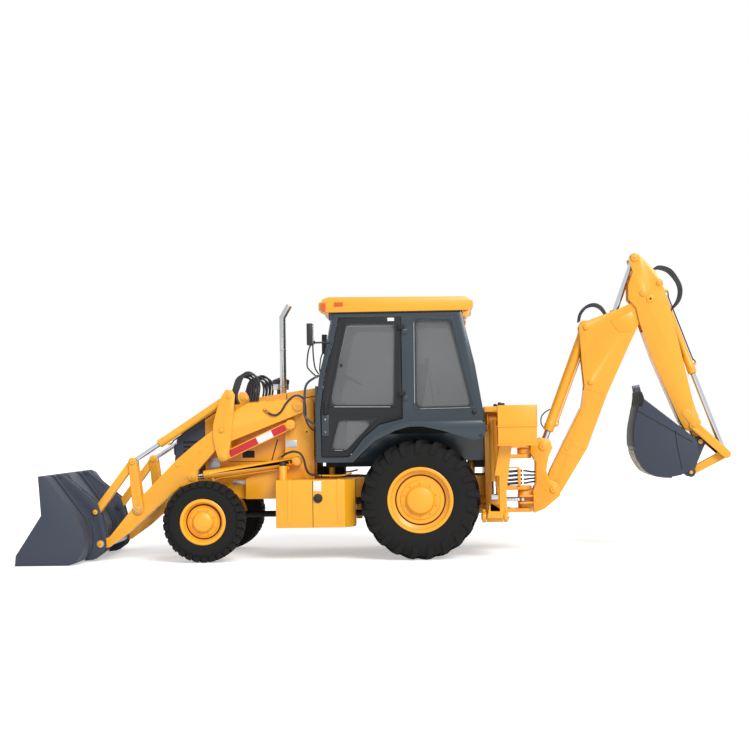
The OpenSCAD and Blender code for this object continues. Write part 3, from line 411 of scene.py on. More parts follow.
def add_pipe(bm, knots, radius, segments=12, spacing=0.02):
    """Rigid bent tube: a ring carried along a smooth path."""
    path = smooth_path([point(*k) for k in knots], spacing)
    last = None
    for i, place in enumerate(path):
        ahead = (path[min(i + 1, len(path) - 1)] - path[max(i - 1, 0)]).normalized()
        turn = ahead.to_track_quat("Z", "Y").to_matrix().to_4x4()
        ring = bmesh.ops.create_circle(bm, cap_ends=i in (0, len(path) - 1), segments=segments,
                                       radius=radius / 1000,
                                       matrix=Matrix.Translation(place) @ turn)["verts"]
        edges = list({e for v in ring for e in v.link_edges})
        if last:
            bmesh.ops.bridge_loops(bm, edges=last + edges)
        last = edges


def body_of_node(node):
    """Body that a CAD node rides on."""
    for body, members in frame["record"]["behaviour"]["bodies"].items():
        if node in members:
            return body
    raise RuntimeError("no body holds " + node)


def mesh_box(bm):
    """Lowest and highest corners of a bmesh."""
    rows = [v.co for v in bm.verts]
    return [min(c[i] for c in rows) for i in range(3)], [max(c[i] for c in rows) for i in range(3)]


def dress(node, finish, edge):
    """Stand a copy of the CAD node with rounded edges in its place."""
    plain = bmesh.new()
    plain.from_mesh(frame["nodes"][node].data)
    bmesh.ops.remove_doubles(plain, verts=plain.verts, dist=0.00002)
    bmesh.ops.dissolve_limit(plain, angle_limit=math.radians(0.5), verts=plain.verts,
                             edges=plain.edges, use_dissolve_boundaries=False)
    low, high = mesh_box(plain)
    shape = None
    for width in (edge, edge * 0.5, edge * 0.25):
        trial = plain.copy()
        limit = math.radians(32.0)
        sharp = [e for e in trial.edges
                 if len(e.link_faces) == 2 and e.calc_face_angle(0.0) > limit]
        bmesh.ops.bevel(trial, geom=sharp, offset=width / 1000, offset_type="OFFSET",
                        affect="EDGES", segments=2, profile=0.5, material=-1, clamp_overlap=False)
        new_low, new_high = mesh_box(trial)
        if all(new_low[i] > low[i] - 0.0003 and new_high[i] < high[i] + 0.0003 for i in range(3)):
            shape = trial
            break
        trial.free()
    if shape is None:
        shape = plain
    if node == "dig_bucket":
        point_teeth(shape)
    piece = add_mesh(node + "_finished", shape, finish, body_of_node(node))
    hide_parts(node)
    return piece


def point_teeth(bm):
    """Draw the five teeth of the dig bucket in towards their points."""
    root, tip, pitch = 1.70, 1.839, TOOTH_PITCH / 1000
    for vert in bm.verts:
        if vert.co.z > root:
            middle = round(vert.co.y / pitch) * pitch
            share = min(1.0, (vert.co.z - root) / (tip - root))
            vert.co.y = middle + (vert.co.y - middle) * (1 - 0.75 * share)


def add_mesh(name, bm, finish, body):
    """Finish a shape whose faces already point outwards."""
    mesh = bpy.data.meshes.new(name)
    bm.to_mesh(mesh)
    bm.free()
    mesh.polygons.foreach_set("use_smooth", [True] * len(mesh.polygons))
    mesh.set_sharp_from_angle(angle=math.radians(36.0))
    mesh.materials.append(FINISHES[finish])
    piece = bpy.data.objects.new(name, mesh)
    bpy.context.scene.collection.objects.link(piece)
    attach(piece, body)
    return piece


# ---------------------------------------------------------------- settings


class FinishSettings(bpy.types.PropertyGroup):
    machine_colour: FloatVectorProperty(
        name="Machine colour", description="Main enamel of the machine", subtype="COLOR", size=4,
        min=0.0, max=1.0, default=linear("#F5AE28"))
    dark_colour: FloatVectorProperty(
        name="Dark colour", description="Enamel of the cab frame, nose and buckets",
        subtype="COLOR", size=4, min=0.0, max=1.0, default=linear("#292E3A"))
    plate_edge: FloatProperty(
        name="Plate edge", description="Rounding of plate edges, in millimetres", default=3.0,
        min=0.5, max=8.0)


class WheelSettings(bpy.types.PropertyGroup):
    rear_lugs: IntProperty(
        name="Rear lugs", description="Lugs on each side of a rear tyre", default=21,
        min=12, max=30)
    front_blocks: IntProperty(
        name="Front blocks", description="Shoulder blocks on each side of a front tyre", default=30,
        min=16, max=40)
    rear_bolts: IntProperty(
        name="Rear wheel bolts", description="Bolts of a rear wheel", default=10, min=5, max=16)
    front_bolts: IntProperty(
        name="Front wheel bolts", description="Bolts of a front wheel", default=8, min=5, max=12)


class StageSettings(bpy.types.PropertyGroup):
    key_strength: FloatProperty(
        name="Key light", description="Strength of the sun-like key light", default=2.3, min=0.0)
    sky_strength: FloatProperty(
        name="Soft light", description="Strength of the even light from all round", default=0.62,
        min=0.0)
    lens: FloatProperty(
        name="Lens", description="Focal length of the camera", default=72.653, min=10.0,
        unit="CAMERA")


# ---------------------------------------------------------------- stage


class STAGE_OT_build(bpy.types.Operator):
    """Set the camera, the lights, the pale floor and the background"""
    bl_idname = "backhoe.stage"
    bl_label = "Stage"

    def execute(self, context):
        settings = context.scene.backhoe_stage
        scene = context.scene
        scene.view_settings.view_transform = "Standard"
        camera = bpy.data.objects.new("camera", bpy.data.cameras.new("camera"))
        camera.data.lens = settings.lens
        camera.data.sensor_width = 36.0
        camera.data.clip_end = 200.0
        yaw, pitch, roll = -0.0432796, 0.0322648, -0.0159872
        ahead = Vector((math.sin(yaw) * math.cos(pitch), math.cos(yaw) * math.cos(pitch),
                        math.sin(pitch)))
        right = ahead.cross(Vector((0, 0, 1))).normalized()
        up = right.cross(ahead)
        across = right * math.cos(roll) + up * math.sin(roll)
        top = up * math.cos(roll) - right * math.sin(roll)
        turn = Matrix((across, top, -ahead)).transposed().to_4x4()
        camera.matrix_world = Matrix.Translation((0.67507, -17.09097, 1.45244)) @ turn
        scene.collection.objects.link(camera)
        scene.camera = camera

        sun = bpy.data.lights.new("key", "SUN")
        sun.energy = settings.key_strength
        sun.angle = math.radians(28.0)
        key = bpy.data.objects.new("key", sun)
        key.rotation_euler = Vector((-0.42, 0.78, -0.62)).to_track_quat("-Z", "Y").to_euler()
        scene.collection.objects.link(key)
        self.make_sky(scene, settings.sky_strength)
        self.make_floor(scene)
        return {"FINISHED"}

    def make_sky(self, scene, strength):
        world = bpy.data.worlds.new("studio")
        scene.world = world
        world.use_nodes = True
        tree = world.node_tree
        tree.nodes.clear()
        soft = add_node(tree, "ShaderNodeBackground", {
            "Color": linear("#FFFFFF"), "Strength": strength})
        shown = add_node(tree, "ShaderNodeBackground", {
            "Color": linear("#FFFFFF"), "Strength": 1.0})
        picked = add_node(tree, "ShaderNodeMixShader", {
            0: self.seen_rays(tree), 1: soft.outputs[0], 2: shown.outputs[0]})
        add_node(tree, "ShaderNodeOutputWorld", {"Surface": picked.outputs[0]})

    def seen_rays(self, tree):
        """One where the ray comes from the camera, a reflection or glass."""
        rays = add_node(tree, "ShaderNodeLightPath")
        first = add_node(tree, "ShaderNodeMath", {
            0: rays.outputs["Is Camera Ray"], 1: rays.outputs["Is Glossy Ray"]},
            operation="MAXIMUM")
        return add_node(tree, "ShaderNodeMath", {
            0: first.outputs[0], 1: rays.outputs["Is Transmission Ray"]},
            operation="MAXIMUM").outputs[0]

    def make_floor(self, scene):
        bm = bmesh.new()
        bmesh.ops.create_grid(bm, x_segments=1, y_segments=1, size=60.0)
        mesh = bpy.data.meshes.new("floor")
        bm.to_mesh(mesh)
        bm.free()
        floor = bpy.data.objects.new("floor", mesh)
        scene.collection.objects.link(floor)
        # Painted studio floor: near white, matt, lit up to white where nothing stands over it
        material, tree = new_material("studio_floor")
        matt = add_node(tree, "ShaderNodeBsdfDiffuse", {"Color": linear("#F2F2F2")})
        glow = add_node(tree, "ShaderNodeEmission", {"Color": linear("#FFFFFF"), "Strength": 0.42})
        lit = add_node(tree, "ShaderNodeAddShader", {0: matt.outputs[0], 1: glow.outputs[0]})
        picked = add_node(tree, "ShaderNodeMixShader", {
            0: self.seen_rays(tree), 1: matt.outputs[0], 2: lit.outputs[0]})
        close_material(tree, picked.outputs[0])
        mesh.materials.append(material)


# ---------------------------------------------------------------- finishes and dressed nodes

# CAD node, its finish, and the rounding of its edges as a share of the plate edge
DRESSED = (
    ("chassis", "machine_enamel", 1.0), ("driveline", "powder_coat_and_painted_shade", 1.0),
    ("hood", "machine_enamel", 2.0), ("grille", "dark_enamel", 0.7),
    ("cab_frame", "cab_enamel", 1.4), ("cab_roof", "machine_enamel", 2.0),
    ("side_tanks", "machine_enamel", 1.6), ("exhaust", "stainless_tube", 0.6),
    ("rear_frame", "machine_enamel", 1.0), ("door_left", "door_enamel", 1.4),
    ("door_right", "door_enamel", 1.4), ("cab_trim", "moulded_plastic", 2.4),
    ("knuckle_left", "machine_enamel", 1.0),
    ("knuckle_right", "machine_enamel", 1.0), ("loader_arm", "machine_enamel", 1.0),
    ("lift_barrels", "machine_enamel", 0.6), ("levelling_rods", "machine_enamel", 1.0),
    ("knee_plates", "machine_enamel", 1.0), ("tilt_barrels", "machine_enamel", 0.6),
    ("levers", "machine_enamel", 1.0), ("bucket_links", "machine_enamel", 1.0),
    ("loader_bucket", "dark_enamel", 1.0), ("swing_post", "machine_enamel", 1.2),
    ("swing_barrel_left", "machine_enamel", 0.6), ("swing_barrel_right", "machine_enamel", 0.6),
    ("boom", "machine_enamel", 1.0), ("boom_barrel", "machine_enamel", 0.6),
    ("dipper", "machine_enamel", 1.0), ("dipper_barrel", "machine_enamel", 0.6),
    ("dig_barrel", "machine_enamel", 0.6), ("tipping_lever", "machine_enamel", 1.0),
    ("dig_link", "machine_enamel", 1.0), ("dig_bucket", "dark_enamel", 0.8),
    ("stabiliser_leg_left", "machine_enamel", 1.6), ("stabiliser_leg_right", "machine_enamel", 1.6),
    ("stabiliser_barrel_left", "machine_enamel", 0.6),
    ("stabiliser_barrel_right", "machine_enamel", 0.6),
)

# CAD nodes whose own mesh stays, with their finish
KEPT = (
    ("lift_rods", "hard_chrome"), ("tilt_rods", "hard_chrome"), ("lever_pins", "zinc_steel"),
    ("bucket_pins", "zinc_steel"), ("swing_rod_left", "hard_chrome"),
    ("swing_rod_right", "hard_chrome"), ("boom_rod", "hard_chrome"), ("dipper_rod", "hard_chrome"),
    ("dig_rod", "hard_chrome"), ("stabiliser_rod_left", "hard_chrome"),
    ("stabiliser_rod_right", "hard_chrome"), ("cab_glass", "tinted_glass"),
    ("door_glass_left", "tinted_glass"), ("door_glass_right", "tinted_glass"),
    ("front_tyre_left", "tyre_rubber"), ("front_tyre_right", "tyre_rubber"),
    ("rear_tyre_left", "tyre_rubber"), ("rear_tyre_right", "tyre_rubber"),
    ("front_rim_left", "machine_enamel"), ("front_rim_right", "machine_enamel"),
    ("rear_rim_left", "machine_enamel"), ("rear_rim_right", "machine_enamel"),
)


class FINISH_OT_build(bpy.types.Operator):
    """Make the finishes and put them on the CAD nodes that stay"""
    bl_idname = "backhoe.finishes"
    bl_label = "Finishes"

    def execute(self, context):
        FINISHES.update(make_finishes(context.scene.backhoe_finish))
        for node, finish in KEPT:
            mesh = frame["nodes"][node].data
            mesh.materials.clear()
            mesh.materials.append(FINISHES[finish])
        return {"FINISHED"}


class DRESS_OT_build(bpy.types.Operator):
    """Round the edges of the welded plates, panels and cylinders"""
    bl_idname = "backhoe.dress"
    bl_label = "Rounded Edges"

    def execute(self, context):
        edge = context.scene.backhoe_finish.plate_edge
        for node, finish, share in DRESSED:
            dress(node, finish, edge * share)
        return {"FINISHED"}


# ---------------------------------------------------------------- wheels

# Wheel axle x, z, middle y, tyre radius, half width, rim seat radius, in millimetres
REAR = (419, 638, -830, 638, 240, 330)
FRONT = (-1900, 436, -900, 436, 165, 226)


def carcass_profile(radius, half, seat):
    """Outer skin of a tyre carcass, then its inner skin, as radius and offset."""
    rise = radius - seat
    outer = [(seat + 1, -half + 38), (seat + 14, -half + 26), (seat + 26, -half + 14),
             (seat + 0.22 * rise, -half + 6), (seat + 0.4 * rise, -half + 1),
             (seat + 0.58 * rise, -half + 2), (seat + 0.74 * rise, -half + 9),
             (seat + 0.87 * rise, -half + 24), (seat + 0.96 * rise, -half + 52),
             (radius, -half * 0.42), (radius, 0)]
    far = [(r, -o) for r, o in reversed(outer[:-1])]
    inner = [(seat + 1, half - 52), (seat + 0.3 * rise, half - 22), (seat + 0.7 * rise, half - 30),
             (seat + 0.85 * rise, 0), (seat + 0.7 * rise, -half + 30),
             (seat + 0.3 * rise, -half + 22), (seat + 1, -half + 52)]
    return outer + far + inner


def add_lug(bm, centre, stations, thickness):
    """One tread lug: a bar swept through stations of angle, radius, offset, width and height."""
    middle = point(*centre)
    last = None
    made = []
    for turn, radius, offset, lean, width, height in stations:
        # Outward direction at this place, leaning over the shoulder, and the way round
        out = Vector((math.sin(turn), 0, -math.cos(turn)))
        around = Vector((math.cos(turn), 0, math.sin(turn)))
        normal = out * math.cos(lean) + Vector((0, -math.sin(lean), 0))
        foot = middle + out * (radius / 1000) + Vector((0, -offset / 1000, 0))
        low, high = foot - normal * (thickness / 1000), foot + normal * (height / 1000)
        half = around * (width / 2000)
        places = [low - half * 1.25, low + half * 1.25, high + half, high - half]
        if last is None:
            ring = [bm.verts.new(p) for p in places]
            last = bm.faces.new(ring)
        else:
            grown = bmesh.ops.extrude_face_region(bm, geom=[last])["geom"]
            last = next(g for g in grown if isinstance(g, bmesh.types.BMFace))
            ring = [loop.vert for loop in last.loops]
            for vert, place in zip(match_order(ring, ring_start), places):
                vert.co = place
        ring_start = list(places)
        made += ring
    return made


def match_order(verts, places):
    """The verts in the order of the places that they lie on."""
    return [min(verts, key=lambda v: (v.co - p).length) for p in places]


def tyre_shape(wheel, lugs, kind):
    """Tyre with its tread: long bars on a rear tyre, blocks on a front one."""
    x, z, y, radius, half, seat = wheel
    bm = new_mesh()
    depth = 36 if kind == "rear" else 20
    add_turned(bm, carcass_profile(radius - depth, half - 10, seat), (x, y, z), (0, 1, 0), 96)
    centre = (x, y, z)
    shoulder, wall = radius - depth, half - 10
    pitch = 2 * math.pi / lugs
    if kind == "rear":
        stations = (
            (0.0, shoulder, -14, 0.0, 52, depth), (0.055, shoulder, 50, 0.0, 50, depth),
            (0.12, shoulder, 130, 0.05, 50, depth - 1),
            (0.155, shoulder - 6, 176, 0.35, 54, depth - 5),
            (0.175, shoulder - 26, wall - 24, 0.9, 58, depth - 15),
            (0.185, shoulder - 62, wall - 6, 1.35, 58, 12),
            (0.19, shoulder - 110, wall - 1, 1.5, 50, 7))
    else:
        stations = (
            (0.0, shoulder, 64, 0.0, 56, depth), (0.02, shoulder, 108, 0.1, 58, depth - 2),
            (0.03, shoulder - 12, wall - 18, 0.8, 56, depth - 8),
            (0.03, shoulder - 44, wall - 4, 1.4, 50, 9))
    for mirror in (1, -1):
        for i in range(lugs):
            start = pitch * (i + (0.5 if mirror < 0 else 0.0))
            turned = [(start + t, r, mirror * o, mirror * lean, w, h)
                      for t, r, o, lean, w, h in stations]
            add_lug(bm, centre, turned, 8)
    if kind == "front":
        for row, offset in enumerate((-26, 26)):
            for i in range(lugs):
                start = pitch * (i + 0.5 * row + 0.25)
                add_lug(bm, centre, [
                    (start - 0.01, shoulder, offset - 20, 0.0, 58, depth),
                    (start + 0.01, shoulder, offset + 20, 0.0, 58, depth)], 8)
    # No lug corner stands out past the tyre's own radius
    hub, limit = point(wheel[0], 0, wheel[1]), (wheel[3] - 0.4) / 1000
    for vert in bm.verts:
        reach = math.hypot(vert.co.x - hub.x, vert.co.z - hub.z)
        if reach > limit:
            vert.co.x = hub.x + (vert.co.x - hub.x) * limit / reach
            vert.co.z = hub.z + (vert.co.z - hub.z) * limit / reach
    return bm


def rim_shape(wheel, kind):
    """Rim, disc and hub of a wheel, its outside towards -Y."""
    x, z, y, _, half, seat = wheel
    edge = half - 37
    bm = new_mesh()
    disc = -edge + (62 if kind == "rear" else 58)
    dish = disc + 26
    hub, cap = (205, 146) if kind == "rear" else (150, 108)
    gap = 262 if kind == "rear" else 182
    # Barrel with two rolled flanges; offsets count towards +Y here
    add_turned(bm, [
        (seat - 13, -edge - 10), (seat + 12, -edge - 13), (seat + 20, -edge - 9),
        (seat + 20, -edge - 1), (seat + 4, -edge - 0.4), (seat, -edge + 6), (seat, edge - 6),
        (seat + 4, edge + 0.4), (seat + 20, edge + 1), (seat + 20, edge + 9),
        (seat + 12, edge + 13), (seat - 13, edge + 10), (seat - 14, -edge + 40),
        (seat - 22, -edge + 10)], (x, y, z), (0, 1, 0), 96)
    # Sloped ring from the barrel to the gap, then the disc up to the hub
    add_turned(bm, [
        (seat - 13, disc - 30), (seat - 15, disc - 22), (gap + 8, disc + 2), (gap + 8, disc + 14),
        (seat - 14, disc - 4)], (x, y, z), (0, 1, 0), 96)
    add_turned(bm, [
        (gap - 6, disc - 2), (gap - 12, disc - 8), (hub + 12, disc - 10), (hub, disc - 22),
        (cap + 14, disc - 26), (cap + 6, disc - 34), (cap, dish - 92), (cap - 12, dish - 106),
        (cap * 0.62, dish - 118), (cap * 0.3, dish - 124), (0, dish - 126), (0, dish - 100),
        (cap - 20, dish - 80), (cap - 12, dish), (gap - 6, dish)], (x, y, z), (0, 1, 0), 96)
    return bm, disc, gap


class WHEELS_OT_build(bpy.types.Operator):
    """Build the tyres with their tread, the rims, hubs and wheel bolts"""
    bl_idname = "backhoe.wheels"
    bl_label = "Wheels"

    def execute(self, context):
        settings = context.scene.backhoe_wheels
        sizes = (("rear", REAR, settings.rear_lugs, settings.rear_bolts, 178),
                 ("front", FRONT, settings.front_blocks, settings.front_bolts, 132))
        for kind, wheel, lugs, bolts, circle in sizes:
            for side, word in ((LEFT, "left"), (RIGHT, "right")):
                body = kind + "_wheel_" + word
                tyre = add_piece(kind + "_tread_" + word, tyre_shape(wheel, lugs, kind),
                                 "tyre_rubber", body, side, smooth=30.0)
                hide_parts(kind + "_tyre_" + word)
                bm, disc, gap = rim_shape(wheel, kind)
                rim = add_piece(kind + "_wheel_disc_" + word, bm, "machine_enamel", body, side,
                                smooth=26.0)
                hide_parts(kind + "_rim_" + word)
                self.add_bolts(kind, word, side, body, wheel, disc, bolts, circle)
                self.add_gap(kind, word, side, body, wheel, disc, gap)
        return {"FINISHED"}

    def add_bolts(self, kind, word, side, body, wheel, disc, count, circle):
        x, z, y = wheel[:3]
        bm = new_mesh()
        for i in range(count):
            a = 2 * math.pi * (i + 0.5) / count
            bx, bz = x + circle * math.cos(a), z + circle * math.sin(a)
            face = y + disc - 9
            add_round(bm, (bx, face + 4, bz), (bx, face - 6, bz), 17, segments=20)
            add_round(bm, (bx, face - 5, bz), (bx, face - 20, bz), 14, segments=6)
            add_round(bm, (bx, face - 19, bz), (bx, face - 27, bz), 8, segments=12)
        add_piece(kind + "_wheel_nuts_" + word, bm, "machine_enamel", body, side, width=1.2)

    def add_gap(self, kind, word, side, body, wheel, disc, gap):
        """Dark shade plate that closes the slot between rim and disc."""
        x, z, y = wheel[:3]
        bm = new_mesh()
        add_turned(bm, [(gap - 14, disc + 12), (gap + 16, disc + 12), (gap + 16, disc + 20),
                        (gap - 14, disc + 20)], (x, y, z), (0, 1, 0), 72)
        add_piece(kind + "_rim_slot_" + word, bm, "powder_coat_and_painted_shade", body, side)


# ---------------------------------------------------------------- pins and cylinders

# Pin, body, outer face of its head from the centre plane, head radius, on both sides
PIN_HEADS = (
    ("arm", "machine", 666, 46), ("level", "machine", 664, 40), ("lift_base", "machine", 664, 36),
    ("knee", "loader_arm", 684, 25), ("lift_rod", "loader_arm", 662, 36),
    ("knee_top", "knee_plates", 682, 23), ("knee_low", "knee_plates", 684, 27),
    ("lever_top", "levers", 684, 27), ("lever", "lever_pins", 684, 32),
    ("link", "loader_bucket", 686, 27), ("bucket", "bucket_pins", 686, 34),
    ("boom_foot", "swing_post", 152, 32), ("boom_ram_foot", "swing_post", 152, 40),
    ("boom_ram_top", "boom", 112, 28), ("dipper_ram_base", "boom", 112, 26),
    ("dipper", "dipper", 136, 31), ("lever2", "dipper", 152, 24),
    ("dig_ram_base", "dipper", 136, 24), ("dipper_top", "dipper", 136, 37),
    ("dig", "dig_bucket", 100, 26), ("link2_end", "dig_bucket", 100, 20),
)

# Name, body, base pin, rod pin, middle y, barrel radius, barrel length, rod radius
RAMS = (
    ("lift", "lift_barrels", "lift_base", "lift_rod", 600, 50, 1035, 28),
    ("tilt", "tilt_barrels", "knee_top", "lever_top", 600, 46, 930, 25),
    ("boom", "boom_barrel", "boom_ram_top", "boom_ram_foot", 0, 60, 1230, 36),
    ("dipper", "dipper_barrel", "dipper_ram_base", "dipper_top", 0, 55, 840, 32),
    ("dig", "dig_barrel", "dig_ram_base", "lever2_end", 0, 50, 1075, 30),
)


class PINS_OT_build(bpy.types.Operator):
    """Add the pin heads, retaining bolts and grease nipples at the joints"""
    bl_idname = "backhoe.pins"
    bl_label = "Pin Heads"

    def execute(self, context):
        for pin, body, face, radius in PIN_HEADS:
            x, z = PINS[pin]
            bm = new_mesh()
            add_round(bm, (x, -face + 1, z), (x, -face - 3, z), radius)
            add_round(bm, (x, -face - 2, z), (x, -face - 5, z), radius * 0.42, segments=24)
            add_piece("pin_head_" + pin, bm, "machine_enamel", body, both=True, width=0.8)
            steel = new_mesh()
            add_round(steel, (x, -face - 4, z), (x, -face - 7, z), radius * 0.2, segments=6)
            add_round(steel, (x, -face - 6, z), (x, -face - 9, z), radius * 0.1, segments=12)
            add_piece("pin_nipple_" + pin, steel, "zinc_steel", body, both=True)
        return {"FINISHED"}


class RAMS_OT_build(bpy.types.Operator):
    """Add the glands, weld beads, ports and pipes of the hydraulic cylinders"""
    bl_idname = "backhoe.rams"
    bl_label = "Cylinder Details"

    def execute(self, context):
        for name, body, base, end, y, radius, length, rod_radius in RAMS:
            self.add_ram(name, body, PINS[base], PINS[end], y, radius, length, rod_radius)
        return {"FINISHED"}

    def add_ram(self, name, body, p, q, y, radius, length, rod_radius):
        paired = y > 0

        def spot(distance, across=0.0, aside=0.0):
            x, z = along(p, q, distance, across)
            return (x, -y - aside, z)

        bm = new_mesh()
        add_round(bm, spot(length - 66), spot(length - 58), radius + 1.5)
        add_round(bm, spot(length - 10), spot(length + 4), rod_radius + 9)
        for distance in (radius + 26, radius + 34):
            add_round(bm, spot(distance), spot(distance + 5), radius - 0.5)
        # Ports with their flanges and the pipe between them
        up = radius + 4
        for distance in (radius + 60, length - 90):
            add_round(bm, spot(distance, radius - 8), spot(distance, up + 12), 17, segments=20)
            add_round(bm, spot(distance, up + 10), spot(distance, up + 24), 13, segments=6)
        piece = add_piece(name + "_ram_fittings", bm, "machine_enamel", body, both=paired,
                          width=0.8)
        tube = new_mesh()
        add_pipe(tube, [spot(distance, up + lift) for distance, lift in (
            (radius + 62, 18), (radius + 86, 20), (radius + 130, 8), (radius + 170, 5),
            (length - 190, 5), (length - 150, 8), (length - 112, 20), (length - 92, 18))], 7)
        finish = "powder_coat_and_painted_shade" if name in ("tilt", "dig") else "machine_enamel"
        add_piece(name + "_ram_pipe", tube, finish, body, both=paired)
        seal = new_mesh()
        add_round(seal, spot(length + 3), spot(length + 9), rod_radius + 4)
        add_piece(name + "_ram_wiper", seal, "moulded_plastic", body, both=paired)
        return piece


# ---------------------------------------------------------------- loader


class LOADER_OT_build(bpy.types.Operator):
    """Add the stripes, hoses, ribs and edges of the loader"""
    bl_idname = "backhoe.loader"
    bl_label = "Loader Details"

    def execute(self, context):
        self.add_stripes()
        self.add_bucket_edges()
        self.add_hoses()
        self.add_arm_fittings()
        return {"FINISHED"}

    def add_stripes(self):
        """Red and white reflective film on the levelling rod."""
        p, q = PINS["level"], PINS["knee_low"]
        for name, finish, start, end in (("red_stripe_rear", "red_film", 66, 222),
                                         ("white_stripe", "white_film", 222, 404),
                                         ("red_stripe_front", "red_film", 404, 740)):
            bm = new_mesh()
            corners = [along(p, q, d, a)
                       for d, a in ((start, -38), (end, -38), (end, 38), (start, 38))]
            add_plate(bm, corners, -631.2, -629.8)
            add_piece(name, bm, finish, "levelling_rods", both=True)

    def add_bucket_edges(self):
        bm = new_mesh()
        # Bolted cutting edge, side cutters and the corner wear plates
        add_plate(bm, [(-3892, 1), (-3894, 7), (-3868, 25), (-3700, 27), (-3700, 21), (-3868, 22)],
                  -1148, 1148)
        add_piece("bucket_cutting_edge", bm, "cutting_steel", "loader_bucket", width=1.0)
        bolts = new_mesh()
        for i in range(-7, 8):
            add_round(bolts, (-3780, i * 150, 22), (-3780, i * 150, 33), 15, segments=6)
        add_piece("bucket_edge_bolts", bolts, "zinc_steel", "loader_bucket")
        ribs = new_mesh()
        for y in (-860, -300, 300, 860):
            add_plate(ribs, [(-3590, 952), (-3544, 928), (-3218, 494), (-3166, 372), (-3154, 230),
                             (-3176, 128), (-3156, 122), (-3138, 230), (-3144, 374), (-3190, 508),
                             (-3520, 946)], y - 8, y + 8)
        add_piece("bucket_ribs", ribs, "dark_enamel", "loader_bucket", width=1.5)
        lip, covers = new_mesh(), new_mesh()
        # Stiffening plate behind the top edge, then the closed tops of the ear pairs
        add_plate(lip, [(-3606, 953), (-3544, 926), (-3470, 828), (-3482, 820), (-3556, 912)],
                  -1130, -698)
        add_plate(lip, [(-3606, 953), (-3544, 926), (-3470, 828), (-3482, 820), (-3556, 912)],
                  -502, 1)
        add_piece("bucket_lip_plates", lip, "dark_enamel", "loader_bucket", both=True, width=1.5)
        add_plate(covers, [(-3556, 944), (-3502, 947), (-3300, 781), (-3305, 774), (-3504, 937),
                           (-3548, 932)], -657, -543)
        add_round(covers, (-3538, -690, 930), (-3538, -510, 930), 27, segments=28)
        add_piece("bucket_ear_tops", covers, "dark_enamel", "loader_bucket", both=True, width=1.5)

    def add_hoses(self):
        """Hose loops over the knee, the arm hose at the pivot and the lift cylinder's hose."""
        for side, word in ((LEFT, "left"), (RIGHT, "right")):
            for i in range(KNEE_HOSES):
                # Side by side, each loop a little further back and higher
                y, back, reach = -(548 + i * 21), i * 17, 92 + 9 * (i % 2)
                middle, crown = -1512 + back, 1936 + 8 * i - 26 * (i % 2)
                add_hose(f"knee_hose_{i}_{word}", "loader_arm", [
                    (-1628 + back, y, 1690), (-1640 + back * 0.8, y, 1770),
                    (middle - reach - 12, y, crown - 66), (middle - reach * 0.72, y, crown + 34),
                    (middle, y, crown + 70), (middle + reach * 0.8, y, crown + 30),
                    (middle + reach + 6, y, crown - 60), (middle + reach - 6, y, 1780),
                    (middle + reach - 16, y, 1716)], 12, side)
            add_hose("arm_hose_" + word, "loader_arm", [
                (-1236, -664, 1602), (-1196, -668, 1574), (-1140, -668, 1566), (-1082, -668, 1608),
                (-1040, -668, 1676), (-985, -668, 1740), (-918, -668, 1776), (-852, -664, 1756)],
                11, side)
            add_hose("pivot_hose_" + word, "machine", [
                (-858, -668, 1756), (-830, -670, 1716), (-818, -672, 1620), (-816, -672, 1520),
                (-790, -676, 1452), (-742, -690, 1400), (-712, -700, 1388)], 11, side)
            add_hose("lift_hose_" + word, "machine", [
                (-1092, -634, 1106), (-1030, -678, 1146), (-950, -694, 1166), (-880, -696, 1142),
                (-840, -696, 1070), (-822, -690, 985), (-790, -672, 926), (-732, -648, 905),
                (-690, -630, 902)], 12, side)
            steel = new_mesh()
            for x, y, z, dx, dz in ((-1092, -634, 1104, -44, -6), (-690, -630, 902, 46, -3)):
                add_round(steel, (x - dx * 0.3, y, z - dz * 0.3),
                          (x + dx * 0.6, y, z + dz * 0.6), 14, segments=6)
                add_round(steel, (x + dx * 0.5, y, z + dz * 0.5), (x + dx, y, z + dz), 10,
                          segments=20)
            add_piece("hose_fittings_" + word, steel, "turned_brass", "machine", side, width=1.0)
            steel = new_mesh()
            add_round(steel, (-1223, -664, 1593), (-1262, -664, 1620), 14, segments=6)
            add_round(steel, (-1258, -664, 1617), (-1280, -664, 1632), 10, segments=20)
            add_piece("arm_hose_fitting_" + word, steel, "turned_brass", "loader_arm", side,
                      width=1.0)
            pipe = new_mesh()
            add_pipe(pipe, [(-646, -630, 899), (-560, -628, 897), (-440, -620, 897),
                            (-330, -600, 920)], 10)
            add_piece("under_cab_pipe_" + word, pipe, "machine_enamel", "machine", side)

    def add_arm_fittings(self):
        bm = new_mesh()
        # Hose clamp blocks on the arm's upper edge and its gusset
        for x, z in ((-1290, 1708), (-1120, 1720)):
            add_block(bm, (x - 30, -640, z - 6), (x + 30, -560, z + 16))
        # Bolts of the hose guard and the lug at the lift rod
        for x, z in ((-2150, 900), (-2236, 1030), (-1980, 1180)):
            add_round(bm, (x, -649, z), (x, -656, z), 12, segments=24)
        add_round(bm, (-2232, -651, 1032), (-2232, -655, 1032), 20, segments=24)
        add_piece("arm_clamps", bm, "machine_enamel", "loader_arm", both=True, width=2.0)


# ---------------------------------------------------------------- cab


